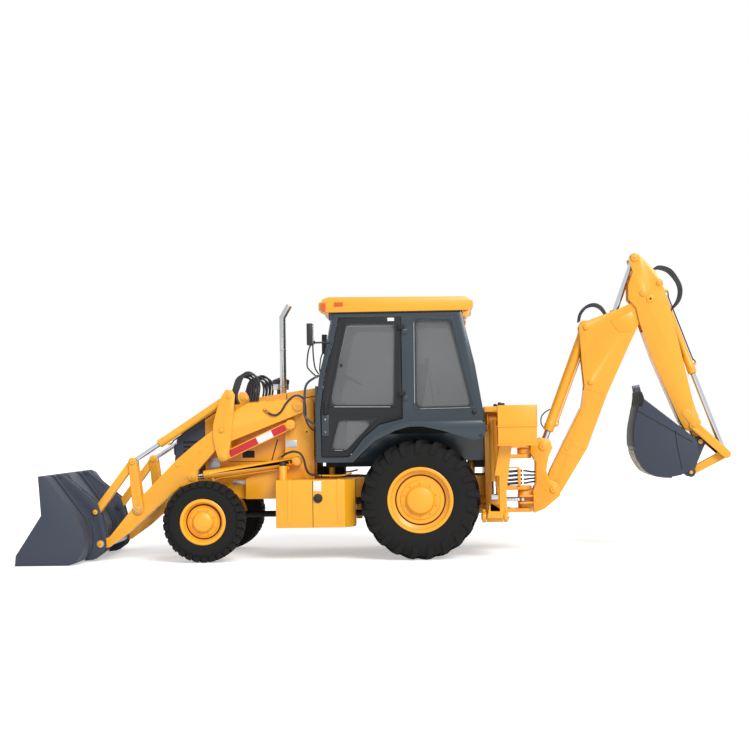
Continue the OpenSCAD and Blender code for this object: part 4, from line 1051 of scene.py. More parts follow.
def offset_outline(outline, amount):
    """Outline moved inwards by amount, for outlines that run clockwise or not."""
    count = len(outline)
    area = sum(a[0] * b[1] - b[0] * a[1] for a, b in zip(outline, outline[1:] + outline[:1]))
    sign = 1 if area > 0 else -1
    moved = []
    for i in range(count):
        p, q, r = outline[i - 1], outline[i], outline[(i + 1) % count]
        first = math.atan2(q[1] - p[1], q[0] - p[0])
        second = math.atan2(r[1] - q[1], r[0] - q[0])
        n1 = (-math.sin(first) * sign, math.cos(first) * sign)
        n2 = (-math.sin(second) * sign, math.cos(second) * sign)
        share = 1 + n1[0] * n2[0] + n1[1] * n2[1]
        moved.append((q[0] + (n1[0] + n2[0]) / share * amount,
                      q[1] + (n1[1] + n2[1]) / share * amount))
    return moved


def round_corners(outline, radius, steps=5):
    """Outline with every corner turned into an arc."""
    count = len(outline)
    made = []
    for i in range(count):
        corner = Vector(outline[i])
        back = (Vector(outline[i - 1]) - corner).normalized()
        ahead = (Vector(outline[(i + 1) % count]) - corner).normalized()
        half = back.angle(ahead) / 2
        reach = radius / math.tan(half)
        centre = corner + (back + ahead).normalized() * (radius / math.sin(half))
        first, last = corner + back * reach - centre, corner + ahead * reach - centre
        for k in range(steps + 1):
            spoke = first.lerp(last, k / steps).normalized() * radius
            made.append(tuple(centre + spoke))
    return made


def add_frame(bm, outline, outer, inner, y0, y1, corner=50):
    """Flat ring that follows an outline, from outer inset to inner inset."""
    big = round_corners(offset_outline(outline, outer), 10)
    small = round_corners(offset_outline(outline, inner), corner)
    count = len(big)
    a = [bm.verts.new(point(x, y0, z)) for x, z in big]
    b = [bm.verts.new(point(x, y0, z)) for x, z in small]
    faces = [bm.faces.new((a[i], a[(i + 1) % count], b[(i + 1) % count], b[i]))
             for i in range(count)]
    made = bmesh.ops.extrude_face_region(bm, geom=faces)["geom"]
    top = [g for g in made if isinstance(g, bmesh.types.BMVert)]
    bmesh.ops.translate(bm, vec=(0, (y1 - y0) / 1000, 0), verts=top)


DOOR_WINDOW = [(-551, 1647), (-520, 1850), (-364, 2556), (186, 2545), (160, 1636)]
DOOR_LOW_WINDOW = [(-547, 1179), (-456, 1511), (-42, 1504), (-366, 1165)]
REAR_WINDOW = [(375, 1611), (381, 2595), (789, 2577), (1019, 1616)]
DOOR_SKIN = [(-639, 1102), (-644, 1600), (-598, 1969), (-435, 2604), (234, 2604), (234, 1510),
             (-20, 1446), (-189, 1306), (-334, 1121), (-362, 1102)]


class CAB_OT_build(bpy.types.Operator):
    """Add seals, handles, lamps, mirrors, wipers and rails to the cab"""
    bl_idname = "backhoe.cab"
    bl_label = "Cab Details"

    def execute(self, context):
        self.add_seals()
        self.add_lamps()
        self.add_mirrors()
        self.add_fittings()
        self.add_nose()
        return {"FINISHED"}

    def add_seals(self):
        """Seals round the windows of the doors and the cab sides, with pale strips beside them that
        paint a highlight along the glass edges.
        """
        for side, word in ((LEFT, "left"), (RIGHT, "right")):
            bm = new_mesh()
            add_frame(bm, DOOR_WINDOW, -14, 16, -779, -757, 52)
            add_frame(bm, DOOR_LOW_WINDOW, -12, 12, -779, -757, 40)
            add_piece("door_seals_" + word, bm, "door_enamel", "door_" + word, side, width=2.0)
            bm = new_mesh()
            add_frame(bm, DOOR_WINDOW, 10, 16, -780.4, -778, 52)
            add_frame(bm, DOOR_LOW_WINDOW, 8, 12, -780.4, -778, 40)
            add_piece("door_window_trim_" + word, bm, "moulded_plastic", "door_" + word, side)
            # Pale strips that paint a highlight along the lower edges of the door windows
            bm = new_mesh()
            add_plate(bm, [(-500, 1640), (108, 1630), (108, 1636), (-500, 1646)], -781.4, -779)
            add_plate(bm, [(-500, 1172), (-412, 1169), (-412, 1173), (-500, 1176)], -781.4, -779)
            add_piece("door_highlight_strip_" + word, bm, "anodised_aluminium_and_highlight", "door_" + word, side)
            # Black line that paints the shade of a shallow pressed groove round the door skin
            bm = new_mesh()
            add_frame(bm, DOOR_SKIN, 4, 10, -776.2, -774, 30)
            add_piece("door_groove_shade_" + word, bm, "powder_coat_and_painted_shade", "door_" + word, side)
            # Blank inspection sticker and the round lock of the sliding pane
            bm = new_mesh()
            add_block(bm, (92, -777, 2556), (164, -774.5, 2596))
            add_piece("door_sticker_" + word, bm, "white_film", "door_" + word, side)
            bm = new_mesh()
            add_round(bm, (-415, -757, 2093), (-415, -776, 2093), 17, 14, segments=24)
            add_round(bm, (-415, -775, 2093), (-415, -781, 2093), 9, segments=18)
            add_piece("door_pane_lock_" + word, bm, "moulded_plastic", "door_" + word, side,
                      width=1.5)
        bm = new_mesh()
        add_frame(bm, REAR_WINDOW, -14, 18, -784, -736, 62)
        add_piece("side_window_seals", bm, "cab_enamel", "machine", both=True, width=2.0)
        bm = new_mesh()
        add_frame(bm, REAR_WINDOW, 12, 18, -785.4, -783, 62)
        add_piece("side_window_trim", bm, "moulded_plastic", "machine", both=True)
        # Pale strips that paint a highlight along the lower and front edges of the side window
        bm = new_mesh()
        add_plate(bm, [(428, 1604), (962, 1609), (962, 1613), (428, 1608)], -786.4, -784)
        add_plate(bm, [(368, 1670), (373, 1670), (379, 2540), (374, 2540)], -786.4, -784)
        add_piece("side_highlight_strip", bm, "anodised_aluminium_and_highlight", "machine", both=True)
        # Black plates that paint the shade behind the top of the rear wheel, and beside the frame
        # under the cab
        bm = new_mesh()
        add_block(bm, (330, -556, 1220), (900, -552, 1440))
        add_block(bm, (1000, -470, 960), (1120, -466, 1110))
        add_block(bm, (-620, -470, 985), (40, -466, 1095))
        add_piece("arch_shade_plates", bm, "powder_coat_and_painted_shade", "machine", both=True)

    def add_lamps(self):
        """Markers, work lamps with their lenses, tail lamps and the lamps under the roof."""
        bm = new_mesh()
        add_block(bm, (-617, -806, 2672), (-574, -792, 2766))
        add_block(bm, (-482, -810, 2728), (-384, -798, 2770))
        add_piece("marker_lenses", bm, "orange_lens", "machine", both=True, width=5.0, segments=3)
        shells, lenses = new_mesh(), new_mesh()
        for y in (-480, -710):
            add_block(shells, (-654, y - 4, 2686), (-606, y + 154, 2784))
            add_block(lenses, (-659, y + 8, 2698), (-653, y + 142, 2772))
            add_block(shells, (972, y - 4, 2696), (1017, y + 154, 2774))
            add_block(lenses, (1016, y + 8, 2706), (1022, y + 142, 2764))
        # Small lamp that hangs under the rear edge of the roof
        add_block(shells, (905, -770, 2596), (958, -690, 2652))
        add_block(shells, (922, -742, 2650), (938, -718, 2664))
        add_block(lenses, (957, -764, 2602), (963, -696, 2646))
        add_piece("work_lamp_shells", shells, "machine_enamel", "machine", both=True, width=4.0)
        add_piece("work_lamp_lenses", lenses, "clear_lens", "machine", both=True, width=2.5)
        tail, base = new_mesh(), new_mesh()
        add_block(tail, (1131, -1026, 1356), (1138, -884, 1412))
        add_block(base, (1106, -1034, 1348), (1133, -876, 1420))
        add_piece("tail_lamp_lenses", tail, "red_lens", "machine", both=True, width=2.5)
        add_piece("tail_lamp_bases", base, "moulded_plastic", "machine", both=True, width=3.0)
        knob = new_mesh()
        add_round(knob, (1010, -780, 1566), (1010, -806, 1566), 26, 20, segments=28)
        add_round(knob, (1074, -1068, 1312), (1074, -1077, 1312), 20, segments=24)
        add_piece("rear_corner_knobs", knob, "moulded_plastic", "machine", both=True, width=3.0)

    def add_mirrors(self):
        glass = new_mesh()
        add_block(glass, (-698, -1096, 2316), (-694, -944, 2514))
        add_piece("mirror_glass", glass, "hard_chrome", "machine", both=True, width=1.0)
        # Two bent stays of the mirror with the bracket at its arm
        stay = new_mesh()
        add_pipe(stay, [(-732, -850, 2322), (-764, -850, 2240), (-778, -848, 2090),
                        (-742, -830, 2030), (-672, -786, 1962)], 8)
        add_pipe(stay, [(-712, -856, 2350), (-712, -852, 2240), (-704, -848, 2130),
                        (-690, -826, 2052), (-662, -782, 2004)], 8)
        add_block(stay, (-742, -880, 2320), (-690, -830, 2356))
        add_piece("mirror_stays", stay, "moulded_plastic", "machine", both=True)

    def add_fittings(self):
        bm = new_mesh()
        # Grab rail at the door's front post
        add_pipe(bm, [(-664, -776, 1984), (-700, -800, 1962), (-770, -806, 1916),
                      (-806, -806, 1850), (-818, -806, 1690), (-818, -806, 1560),
                      (-776, -804, 1502), (-706, -776, 1448)], 13)
        add_piece("cab_grab_rail", bm, "cab_enamel", "machine", both=True)
        for side, word in ((LEFT, "left"), (RIGHT, "right")):
            latch, screws = new_mesh(), new_mesh()
            add_block(latch, (-634, -783, 1330), (-558, -774, 1556))
            add_round(screws, (-596, -782, 1508), (-596, -788, 1508), 9, segments=20)
            add_round(screws, (-596, -782, 1372), (-596, -786, 1372), 7, segments=20)
            add_piece("door_latch_plate_" + word, latch, "cab_enamel", "door_" + word, side,
                      width=6.0)
            add_piece("door_latch_screws_" + word, screws, "zinc_steel", "door_" + word, side)
        # Drip rail under the roof and the wiper on the windscreen
        rail = new_mesh()
        add_block(rail, (-486, -792, 2648), (884, -779, 2664))
        add_piece("drip_rail", rail, "powder_coat_and_painted_shade", "machine", both=True, width=3.0)
        wiper = new_mesh()
        add_pipe(wiper, [(-556, 0, 2560), (-578, 40, 2480), (-640, 210, 2030)], 7)
        add_pipe(wiper, [(-611, 196, 2240), (-660, 214, 1930)], 5)
        add_round(wiper, (-560, 0, 2566), (-530, 0, 2578), 22, segments=20)
        add_piece("windscreen_wiper", wiper, "moulded_plastic", "machine")

    def add_nose(self):
        """Headlamps in their rings, and the air slots of the nose, painted as dark shade, with
        their slats.
        """
        lens, ring = new_mesh(), new_mesh()
        add_round(lens, (-2290, -340, 1200), (-2308, -340, 1200), 52, 46, segments=40)
        add_piece("headlamp_lenses", lens, "clear_lens", "machine", both=True, width=1.5)
        add_turned(ring, [(52, -2280), (52, -2311), (58, -2314), (64, -2308), (64, -2280)],
                   (0, -340, 1200), (1, 0, 0), 48)
        add_piece("headlamp_rings", ring, "moulded_plastic", "machine", both=True)
        # Black blocks that paint the shade inside the air slots, with a slat over each, in the
        # front and both sides of the nose
        slots, slats = new_mesh(), new_mesh()
        for z in range(920, 1271, 50):
            face = -2300 + (10 * (1090 - z) / 220 if z < 1090 else 30 * (z - 1090) / 240)
            add_block(slots, (face - 2, -244, z), (face + 8, -14, z + 24))
            add_block(slats, (face - 8, -248, z + 22), (face + 6, -10, z + 30))
            add_block(slots, (-2200, -426.5, z), (-2020, -420, z + 24))
            add_block(slats, (-2204, -431, z + 22), (-2016, -424, z + 30))
        add_piece("nose_slot_shade", slots, "powder_coat_and_painted_shade", "machine", both=True)
        add_piece("nose_slats", slats, "dark_enamel", "machine", both=True, width=2.0)


# ---------------------------------------------------------------- hood, tanks and operator's place


class BODY_OT_build(bpy.types.Operator):
    """Add the seams, vents, plates and caps of the hood, tanks and exhaust"""
    bl_idname = "backhoe.body"
    bl_label = "Hood and Tanks"

    def execute(self, context):
        self.add_hood_details()
        self.add_tank_details()
        self.add_exhaust_details()
        return {"FINISHED"}

    def add_hood_details(self):
        seams = new_mesh()
        for a, b, width in (((-1154, 1300), (-1228, 1044), 6), ((-1046, 1800), (-1046, 1716), 4),
                            ((-1046, 1718), (-724, 1772), 4), ((-1700, 1060), (-1260, 1060), 3)):
            corners = [along(a, b, d, w) for d, w in ((0, -width), (math.dist(a, b), -width),
                                                      (math.dist(a, b), width), (0, width))]
            add_plate(seams, corners, -426.2, -424)
        add_piece("hood_seams", seams, "powder_coat_and_painted_shade", "machine", both=True)
        # Vent behind the nose: perforated grey panel with pressed slats, then a black block that
        # paints the shade of an opening
        vent, slats = new_mesh(), new_mesh()
        add_block(vent, (-1925, -428, 948), (-1800, -424, 1112))
        for i in range(11):
            add_block(slats, (-1918, -431, 956 + i * 14), (-1807, -427, 962 + i * 14))
        add_piece("side_vent_panels", vent, "anodised_aluminium_and_highlight", "machine", both=True, width=1.0)
        add_piece("side_vent_slats", slats, "zinc_steel", "machine", both=True, width=0.6)
        hollow = new_mesh()
        add_block(hollow, (-1545, -427, 1100), (-1412, -424, 1178))
        add_piece("side_opening_shade", hollow, "powder_coat_and_painted_shade", "machine", both=True)
        # Bare data plates: one on the tower, one on the rail
        plates = new_mesh()
        add_block(plates, (-1050, -542, 1208), (-928, -539, 1290))
        add_block(plates, (-1660, -427, 806), (-1516, -424, 852))
        add_piece("data_plates", plates, "anodised_aluminium_and_highlight", "machine", both=True, width=0.8)
        # Black discs that paint the shade inside the holes of the tower
        holes = new_mesh()
        add_round(holes, (-820, -539, 1378), (-820, -541, 1378), 10, segments=24)
        add_piece("tower_hole_shade", holes, "powder_coat_and_painted_shade", "machine", both=True)
        bolts = new_mesh()
        for x, z in ((-1020, 1560), (-780, 1440), (-780, 1240), (-1030, 1160), (-780, 1000)):
            add_round(bolts, (x, -539, z), (x, -547, z), 11, segments=6)
        add_piece("tower_bolts", bolts, "machine_enamel", "machine", both=True, width=1.0)

    def add_tank_details(self):
        seam = new_mesh()
        add_block(seam, (-733, -952, 358), (-727, -949, 860))
        add_piece("tank_seams", seam, "powder_coat_and_painted_shade", "machine", both=True)
        patch = new_mesh()
        add_block(patch, (-722, -952, 744), (-636, -949, 852))
        add_piece("tank_patches", patch, "white_film", "machine", both=True, width=0.6)
        cap = new_mesh()
        add_round(cap, (-674, -948, 668), (-674, -966, 668), 50, 47, segments=40)
        add_round(cap, (-674, -965, 668), (-674, -974, 668), 38, 33, segments=40)
        for i in range(3):
            a = math.pi * i / 3
            dx, dz = 30 * math.cos(a), 30 * math.sin(a)
            add_pipe(cap, [(-674 - dx, -975, 668 - dz), (-674 + dx, -975, 668 + dz)], 5)
        add_round(cap, (-1070, -700, 1008), (-1070, -700, 1048), 38, 36, segments=36)
        add_piece("tank_caps", cap, "moulded_plastic", "machine", both=True, width=2.0)
        straps = new_mesh()
        for x in (-1000, -470):
            add_block(straps, (x, -956, 400), (x + 40, -948, 866))
            add_block(straps, (x, -956, 862), (x + 40, -600, 870))
        add_piece("tank_straps", straps, "machine_enamel", "machine", both=True, width=1.5)

    def add_exhaust_details(self):
        bowl = new_mesh()
        add_turned(bowl, [(60, 1905), (97, 1925), (98, 1945), (97, 1972), (60, 1986), (30, 2000),
                          (0, 2002), (0, 1960)], (-1180, 240, 0), (0, 0, 1), 48)
        add_round(bowl, (-1180, 240, 1765), (-1180, 240, 1862), 46, segments=36)
        add_piece("precleaner_bowl", bowl, "moulded_plastic", "machine", side=LEFT, width=0)
        clamp = new_mesh()
        add_round(clamp, (-1137, 100, 1880), (-1137, 100, 1900), 40, segments=40)
        add_round(clamp, (-1137, 100, 2300), (-1137, 100, 2312), 38, segments=40)
        add_block(clamp, (-1150, 44, 1882), (-1124, 66, 1898))
        add_piece("stack_clamps", clamp, "zinc_steel", "machine", width=1.5)


class STATION_OT_build(bpy.types.Operator):
    """Build the operator's place: seat, consoles, steering wheel and levers"""
    bl_idname = "backhoe.station"
    bl_label = "Operator's Place"

    def execute(self, context):
        base = new_mesh()
        add_block(base, (-100, -240, 1072), (340, 240, 1501))
        add_block(base, (-600, -120, 1072), (-420, 120, 1711))
        add_block(base, (560, -170, 1072), (740, 170, 1631))
        for y in (-1, 1):
            add_block(base, (180, 276 * y - 20, 1540), (240, 276 * y + 20, 1600))
        consoles = add_piece("station_consoles", base, "moulded_plastic", "machine", width=12.0)
        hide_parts("operator_station")
        rests = new_mesh()
        for y in (-292, 292):
            add_block(rests, (20, y - 30, 1560), (380, y + 30, 1600))
        add_piece("arm_rests", rests, "seat_vinyl", "machine", width=14.0, segments=4)
        self.add_wheel()
        self.add_levers()
        self.add_cushion("seat_cushion", (-134, -254, 1504), (374, 254, 1616), 0.0, (0, 0))
        self.add_cushion("seat_back", (336, -244, 1610), (434, 244, 2150), 10.0, (330, 1600))
        return {"FINISHED"}

    def add_wheel(self):
        """Steering wheel with three spokes on its leaning column."""
        turn = math.radians(31.0)
        axis = Vector((math.sin(turn), 0, math.cos(turn)))
        centre = (-395, 0, 1990)
        bm = new_mesh()
        ring = [(165 + 14 * math.cos(a), 14 * math.sin(a))
                for a in (math.pi * 2 * i / 12 for i in range(12))]
        add_turned(bm, ring, centre, axis, 48)

        def spot(along_axis, across, aside):
            side = Vector((math.cos(turn), 0, -math.sin(turn)))
            place = Vector(centre) + axis * along_axis + side * across + Vector((0, aside, 0))
            return tuple(place)

        add_round(bm, spot(-30, 0, 0), spot(4, 0, 0), 44, 38, segments=32)
        add_round(bm, spot(-330, 0, 0), spot(-20, 0, 0), 30, 22, segments=28)
        for a in (30, 150, 270):
            c, d = math.cos(math.radians(a)), math.sin(math.radians(a))
            add_round(bm, spot(-6, 30 * c, 30 * d), spot(-2, 160 * c, 160 * d), 9, segments=12)
        add_piece("steering_wheel", bm, "moulded_plastic", "machine", smooth=50.0)

    def add_levers(self):
        rods, knobs = new_mesh(), new_mesh()
        lean = math.tan(math.radians(9.0))
        for y in (-90, 90):
            add_round(rods, (590, y, 1605), (590 - 500 * lean, y, 2110), 10, segments=16)
            add_round(knobs, (590, y, 1600), (588, y, 1650), 34, 14, segments=24)
            add_ball(knobs, (590 - 540 * lean, y, 2150), 24, (1, 1, 1.5))
        for y in (-60, 0, 60):
            add_round(rods, (640, y, 1620), (625, y, 1790), 6, segments=12)
            add_ball(knobs, (624, y, 1800), 15)
        for y in (-150, -118):
            add_round(rods, (-470, y, 1700), (-510, y, 1850), 6, segments=12)
            add_ball(knobs, (-512, y, 1858), 14)
        add_piece("lever_rods", rods, "hard_chrome", "machine")
        add_piece("lever_knobs", knobs, "moulded_plastic", "machine")

    def add_cushion(self, name, low, high, lean, hinge):
        """Swell a rounded block under cloth pressure, then cap and smooth it."""
        bm = new_mesh()
        add_block(bm, [a + 8 for a in low], [b - 8 for b in high])
        soften(bm, 34.0, 3)
        if lean:
            centre = point(hinge[0], 0, hinge[1])
            bmesh.ops.rotate(bm, cent=centre, matrix=Matrix.Rotation(math.radians(lean), 3, "Y"),
                             verts=bm.verts)
        mesh = bpy.data.meshes.new(name)
        bm.to_mesh(mesh)
        bm.free()
        pad = bpy.data.objects.new(name, mesh)
        bpy.context.scene.collection.objects.link(pad)
        net = pad.modifiers.new("net", "REMESH")
        net.mode, net.voxel_size = "VOXEL", 0.012
        self.settle(pad)
        start = [v.co.copy() for v in pad.data.vertices]
        cloth = pad.modifiers.new("swell", "CLOTH")
        cloth.settings.use_pressure = True
        cloth.settings.uniform_pressure_force = 4.0
        cloth.settings.effector_weights.gravity = 0.0
        for number in range(1, 21):
            bpy.context.scene.frame_set(number)
        self.settle(pad)
        bpy.context.scene.frame_set(1)
        for vert, place in zip(pad.data.vertices, start):
            moved = vert.co - place
            if moved.length > 0.009:
                vert.co = place + moved.normalized() * 0.009
        smooth = pad.modifiers.new("smooth", "SUBSURF")
        smooth.levels = smooth.render_levels = 1
        pad.data.polygons.foreach_set("use_smooth", [True] * len(pad.data.polygons))
        pad.data.materials.clear()
        pad.data.materials.append(FINISHES["seat_vinyl"])
        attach(pad, "machine")
        # Sewn piping round the edge of the cushion
        self.add_piping(name, low, high, lean, hinge)

    def settle(self, pad):
        """Turn what the modifiers make into the piece's own mesh."""
        graph = bpy.context.evaluated_depsgraph_get()
        made = bpy.data.meshes.new_from_object(pad.evaluated_get(graph))
        pad.modifiers.clear()
        pad.data = made

    def add_piping(self, name, low, high, lean, hinge):
        bm = new_mesh()
        x0, x1, y0, y1 = low[0] + 24, high[0] - 24, low[1] + 24, high[1] - 24
        if lean:
            x = low[0] + 8
            z0, z1 = low[2] + 40, high[2] - 40
            loop = [(x, y0, z0), (x, 0, z0 - 4), (x, y1, z0), (x, y1, (z0 + z1) / 2), (x, y1, z1),
                    (x, 0, z1 + 4), (x, y0, z1), (x, y0, (z0 + z1) / 2), (x, y0, z0)]
        else:
            z = high[2] - 8
            loop = [(x0, y0, z), ((x0 + x1) / 2, y0, z), (x1, y0, z), (x1, 0, z), (x1, y1, z),
                    ((x0 + x1) / 2, y1, z), (x0, y1, z), (x0, 0, z), (x0, y0, z)]
        add_pipe(bm, loop, 5, segments=8)
        if lean:
            bmesh.ops.rotate(bm, cent=point(hinge[0], 0, hinge[1]),
                             matrix=Matrix.Rotation(math.radians(lean), 3, "Y"), verts=bm.verts)
        add_piece(name + "_piping", bm, "seat_vinyl", "machine")


# ---------------------------------------------------------------- backhoe


# Outer skin of the dig bucket from the lip round to the pivot, x then z
DIG_SKIN = [(2822, 1600), (2790, 1449), (2772, 1350), (2766, 1200), (2786, 1074), (2832, 971),
            (2897, 885), (2988, 838), (3058, 820), (3156, 813), (3274, 836)]


class BACKHOE_OT_build(bpy.types.Operator):
    """Add the hoses, wear strips, teeth and covers of the backhoe"""
    bl_idname = "backhoe.backhoe"
    bl_label = "Backhoe Details"

    def execute(self, context):
        self.add_hoses()
        self.add_bucket_details()
        self.add_boom_details()
        self.add_frame_details()
        self.add_stabiliser_details()
        return {"FINISHED"}

    def add_hoses(self):
        for i, y in enumerate((-90, -68, 68, 90)):
            rise = 16 * (i % 2)
            add_hose(f"boom_top_hose_{i}", "boom", [
                (2216, y, 2560), (2236, y, 2640 + rise), (2300, y, 2716 + rise),
                (2390, y, 2742 + rise), (2470, y, 2704 + rise), (2530, y, 2620)], 10)
            add_hose(f"dipper_top_hose_{i}", "dipper", [
                (3050, y, 3128), (3120, y, 3150 + rise), (3230 + rise, y, 3110 + rise),
                (3320 + rise, y, 3000), (3350 + rise, y, 2890), (3320 + rise, y, 2770),
                (3232, y, 2660)], 10)
        # Four hoses from the rear frame to the clamp bar, and on from the swing post to the boom
        for i, z in enumerate((764, 806, 852, 900)):
            y = -64 - 26 * (i % 2)
            add_hose(f"frame_hose_{i}", "machine", [
                (1140, y - 40, z + 26), (1210, y - 40, z + 22), (1300, y - 26, z + 6),
                (1400, y - 8, z - 4), (1470, y, z), (1506, y * 0.6, z),
                (1541, y * 0.1, z)], 15)
            add_hose(f"post_hose_{i}", "swing_post", [
                (1690, -30 - 8 * (i % 2), 780 + 36 * i), (1664, -30, 776 + 37 * i),
                (1625, -20, 770 + 41 * i), (1596, -8, z - 2), (1567, 0, z)], 10)
        add_hose("boom_ram_hose", "boom_barrel", [
            self.ram_spot(1000, -62), self.ram_spot(1040, -96), self.ram_spot(1100, -122),
            self.ram_spot(1160, -112), self.ram_spot(1200, -84), self.ram_spot(1212, -62)], 7)

    def ram_spot(self, distance, across):
        x, z = along(PINS["boom_ram_top"], PINS["boom_ram_foot"], distance, across)
        return (x, -18, z)

    def add_bucket_details(self):
        """Tooth adapters, wear strips round the heel, a front plate and lines on the sides."""
        tooth = new_mesh()
        for y in range(-2 * TOOTH_PITCH, 2 * TOOTH_PITCH + 1, TOOTH_PITCH):
            add_plate(tooth, [(2822, 1600), (2836, 1700), (2838, 1758), (2868, 1758), (2892, 1690),
                              (2872, 1600)], y - 36, y + 36)
        add_piece("dig_teeth", tooth, "powder_coat_and_painted_shade", "dig_bucket", width=3.0)
        strips = new_mesh()
        heel = [p for p in smooth_line(DIG_SKIN) if p[1] < 1130 and p[0] < 3190]
        for y in (-210, -105, 0, 105, 210):
            outer = offset_line(heel, 9)
            inner = offset_line(heel, -2)
            add_plate(strips, outer + inner[::-1], y - 34, y + 34)
        add_piece("dig_wear_strips", strips, "wear_steel", "dig_bucket", width=1.5)
        shell = new_mesh()
        skirt = [p for p in smooth_line(DIG_SKIN) if p[1] >= 1115]
        outer, inner = offset_line(skirt, 3), offset_line(skirt, -2)
        add_plate(shell, outer + inner[::-1], -299, 299)
        add_piece("dig_front_plate", shell, "powder_coat_and_painted_shade", "dig_bucket", width=1.0)
        bead = new_mesh()
        for a, b in (((2806, 1556), (3412, 1196)), ((3222, 1330), (3240, 1160)),
                     ((3240, 1160), (3290, 900))):
            corners = [along(a, b, d, w) for d, w in ((0, -4), (math.dist(a, b), -4),
                                                      (math.dist(a, b), 4), (0, 4))]
            add_plate(bead, corners, -302, -299)
        add_piece("dig_side_folds", bead, "powder_coat_and_painted_shade", "dig_bucket", both=True)
        hook = new_mesh()
        add_round(hook, (3204, -30, 806), (3204, 30, 806), 16, segments=24)
        add_piece("dig_lifting_eye", hook, "wear_steel", "dig_bucket", width=2.0)

    def add_boom_details(self):
        """Weld lines, cover plates, bosses and clamps of the boom and dipper."""
        bm = new_mesh()
        for a, b in (((2018, 1226), (2248, 1125)), ((1988, 1110), (2206, 1027)),
                     ((2278, 1802), (2470, 1757))):
            corners = [along(a, b, d, w) for d, w in ((0, -5), (math.dist(a, b), -5),
                                                      (math.dist(a, b), 5), (0, 5))]
            add_plate(bm, corners, -103, -99.5)
        add_round(bm, (2040, -99, 1140), (2040, -108, 1140), 15, segments=24)
        add_plate(bm, [(2560, 2560), (2800, 2660), (2842, 2560), (2790, 2440), (2650, 2430)],
                  -104, -99.5)
        add_piece("boom_welds", bm, "machine_enamel", "boom", both=True, width=1.2)
        front = new_mesh()
        for a, b in (((1856, 892), (2214, 1592)),):
            corners = [along(a, b, d, w) for d, w in ((0, -3), (math.dist(a, b), -3),
                                                      (math.dist(a, b), 3), (0, 3))]
            add_plate(front, corners, -96, 96)
        add_piece("boom_front_strip", front, "machine_enamel", "boom", width=1.0)
        dip = new_mesh()
        add_round(dip, (3010, -124, 2800), (3010, -131, 2800), 46, segments=36)
        for x, z in ((3228, 2520), (3278, 2300), (3330, 2060), (3384, 1820)):
            add_block(dip, (x - 10, -40, z - 14), (x + 18, 40, z + 14))
        add_plate(dip, strap_outline((3376, 1520), (3476, 1408), 46, 60), -130, -123.5)
        add_piece("dipper_covers", dip, "machine_enamel", "dipper", both=True, width=1.5)
        cap = new_mesh()
        add_round(cap, (3010, -130, 2800), (3010, -137, 2800), 12, segments=6)
        add_piece("dipper_cover_bolts", cap, "powder_coat_and_painted_shade", "dipper", both=True)

    def add_frame_details(self):
        """Clamp bar, valve block, caps and bolts on the rear frame and swing post."""
        bm = new_mesh()
        add_block(bm, (1496, -126, 742), (1530, -40, 930))
        add_block(bm, (1496, -60, 742), (1512, -40, 742 + 4))
        add_piece("hose_clamp_bar", bm, "machine_enamel", "machine", width=3.0)
        arm = new_mesh()
        add_block(arm, (1147, -70, 930), (1512, -44, 946))
        add_piece("hose_clamp_bracket", arm, "machine_enamel", "machine", width=2.0)
        valve = new_mesh()
        add_block(valve, (1150, -290, 760), (1200, -60, 960))
        for y in range(-270, -60, 40):
            add_round(valve, (1175, y, 955), (1175, y, 1000), 15, segments=24)
            add_round(valve, (1198, y, 800), (1216, y, 800), 14, segments=6)
        add_piece("valve_block", valve, "powder_coat_and_painted_shade", "machine", width=3.0)
        top = new_mesh()
        add_block(top, (1262, -716, 1620), (1344, -640, 1640))
        add_round(top, (1285, -680, 1638), (1285, -680, 1664), 20, 16, segments=24)
        add_block(top, (1300, -700, 1638), (1340, -666, 1656))
        add_piece("frame_top_fittings", top, "moulded_plastic", "machine", both=True, width=3.0)
        bolts = new_mesh()
        for z in (1085, 1205, 485, 735):
            for x, y in ((1400, 60), (1400, -60)):
                add_round(bolts, (x, y, z - 1), (x, y, z + 9), 13, segments=6)
        add_round(bolts, (1560, 0, 1204), (1560, 0, 1216), 52, segments=36)
        add_round(bolts, (1560, 0, 1215), (1560, 0, 1224), 16, segments=6)
        add_piece("swing_pin_caps", bolts, "machine_enamel", "machine", width=1.5)
        small = new_mesh()
        add_round(small, (1806, -139, 700), (1806, -148, 700), 13, segments=24)
        add_round(small, (1700, -139, 560), (1700, -146, 560), 13, segments=24)
        add_piece("post_bosses", small, "machine_enamel", "swing_post", both=True, width=1.2)

    def add_stabiliser_details(self):
        """Pads' ledge bands and bolts, and the caps of the hinge pins."""
        for side, word in ((LEFT, "left"), (RIGHT, "right")):
            body = body_of_node("stabiliser_leg_" + word)
            bm = new_mesh()
            add_block(bm, (1240, -1090, 1398), (1670, -846, 1412))
            add_block(bm, (1240, -1090, 1200), (1670, -1072, 1214))
            add_block(bm, (1656, -1084, 1412), (1664, -850, 1630))
            add_piece("pad_ledges_" + word, bm, "machine_enamel", body, side, width=1.2)
            pins = new_mesh()
            for x in (1063, 1345):
                add_round(pins, (x, -850, 440), (x + 12, -850, 440), 34, segments=32)
            add_round(pins, (1357, -850, 440), (1366, -850, 440), 12, segments=6)
            add_piece("stabiliser_pin_caps_" + word, pins, "zinc_steel", "machine", side, width=1.5)


def smooth_line(outline, steps=5):
    """Points on a smooth curve through an outline of the side view."""
    path = smooth_path([Vector((x / 1000, 0, z / 1000)) for x, z in outline], 0.2 / steps)
    return [(p.x * 1000, p.z * 1000) for p in path]


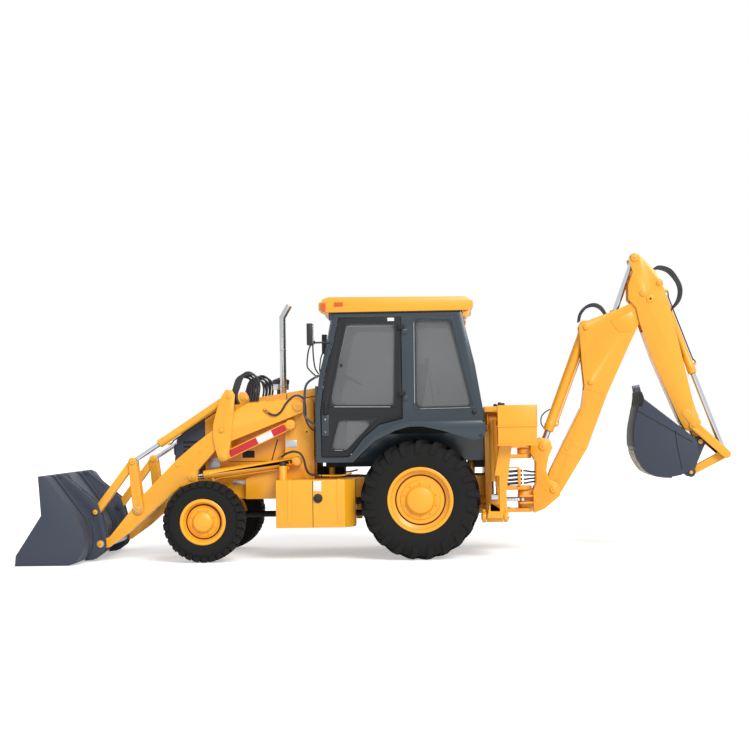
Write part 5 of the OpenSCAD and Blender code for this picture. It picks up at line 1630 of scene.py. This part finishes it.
def offset_line(line, amount):
    """Open outline moved sideways by amount, to its right hand."""
    moved = []
    for i in range(len(line)):
        (ax, az), (bx, bz) = line[max(i - 1, 0)], line[min(i + 1, len(line) - 1)]
        length = math.hypot(bx - ax, bz - az)
        moved.append((line[i][0] + (bz - az) / length * amount,
                      line[i][1] - (bx - ax) / length * amount))
    return moved


class LOOKS_PT_panel(bpy.types.Panel):
    """Shows the build steps and the settings of the backhoe loader"""
    bl_idname = "LOOKS_PT_backhoe"
    bl_label = "Backhoe Loader"
    bl_space_type = "VIEW_3D"
    bl_region_type = "UI"
    bl_category = "Backhoe Loader"

    def draw(self, context):
        for operator in OPERATORS:
            self.layout.operator(operator.bl_idname)
        for name in ("machine_colour", "dark_colour", "plate_edge"):
            self.layout.prop(context.scene.backhoe_finish, name)
        for name in ("rear_lugs", "front_blocks", "rear_bolts", "front_bolts"):
            self.layout.prop(context.scene.backhoe_wheels, name)
        for name in ("key_strength", "sky_strength", "lens"):
            self.layout.prop(context.scene.backhoe_stage, name)


OPERATORS = (STAGE_OT_build, FINISH_OT_build, DRESS_OT_build, WHEELS_OT_build, PINS_OT_build,
             RAMS_OT_build, LOADER_OT_build, CAB_OT_build, BODY_OT_build, STATION_OT_build,
             BACKHOE_OT_build)
CLASSES = (FinishSettings, WheelSettings, StageSettings) + OPERATORS + (LOOKS_PT_panel,)


def register():
    for cls in CLASSES:
        bpy.utils.register_class(cls)
    bpy.types.Scene.backhoe_finish = PointerProperty(type=FinishSettings)
    bpy.types.Scene.backhoe_wheels = PointerProperty(type=WheelSettings)
    bpy.types.Scene.backhoe_stage = PointerProperty(type=StageSettings)


def unregister():
    del bpy.types.Scene.backhoe_stage
    del bpy.types.Scene.backhoe_wheels
    del bpy.types.Scene.backhoe_finish
    for cls in reversed(CLASSES):
        bpy.utils.unregister_class(cls)


def main():
    """Register, and build every piece in order."""
    register()
    for operator in OPERATORS:
        group, name = operator.bl_idname.split(".")
        getattr(getattr(bpy.ops, group), name)()


if __name__ == "__main__":
    main()
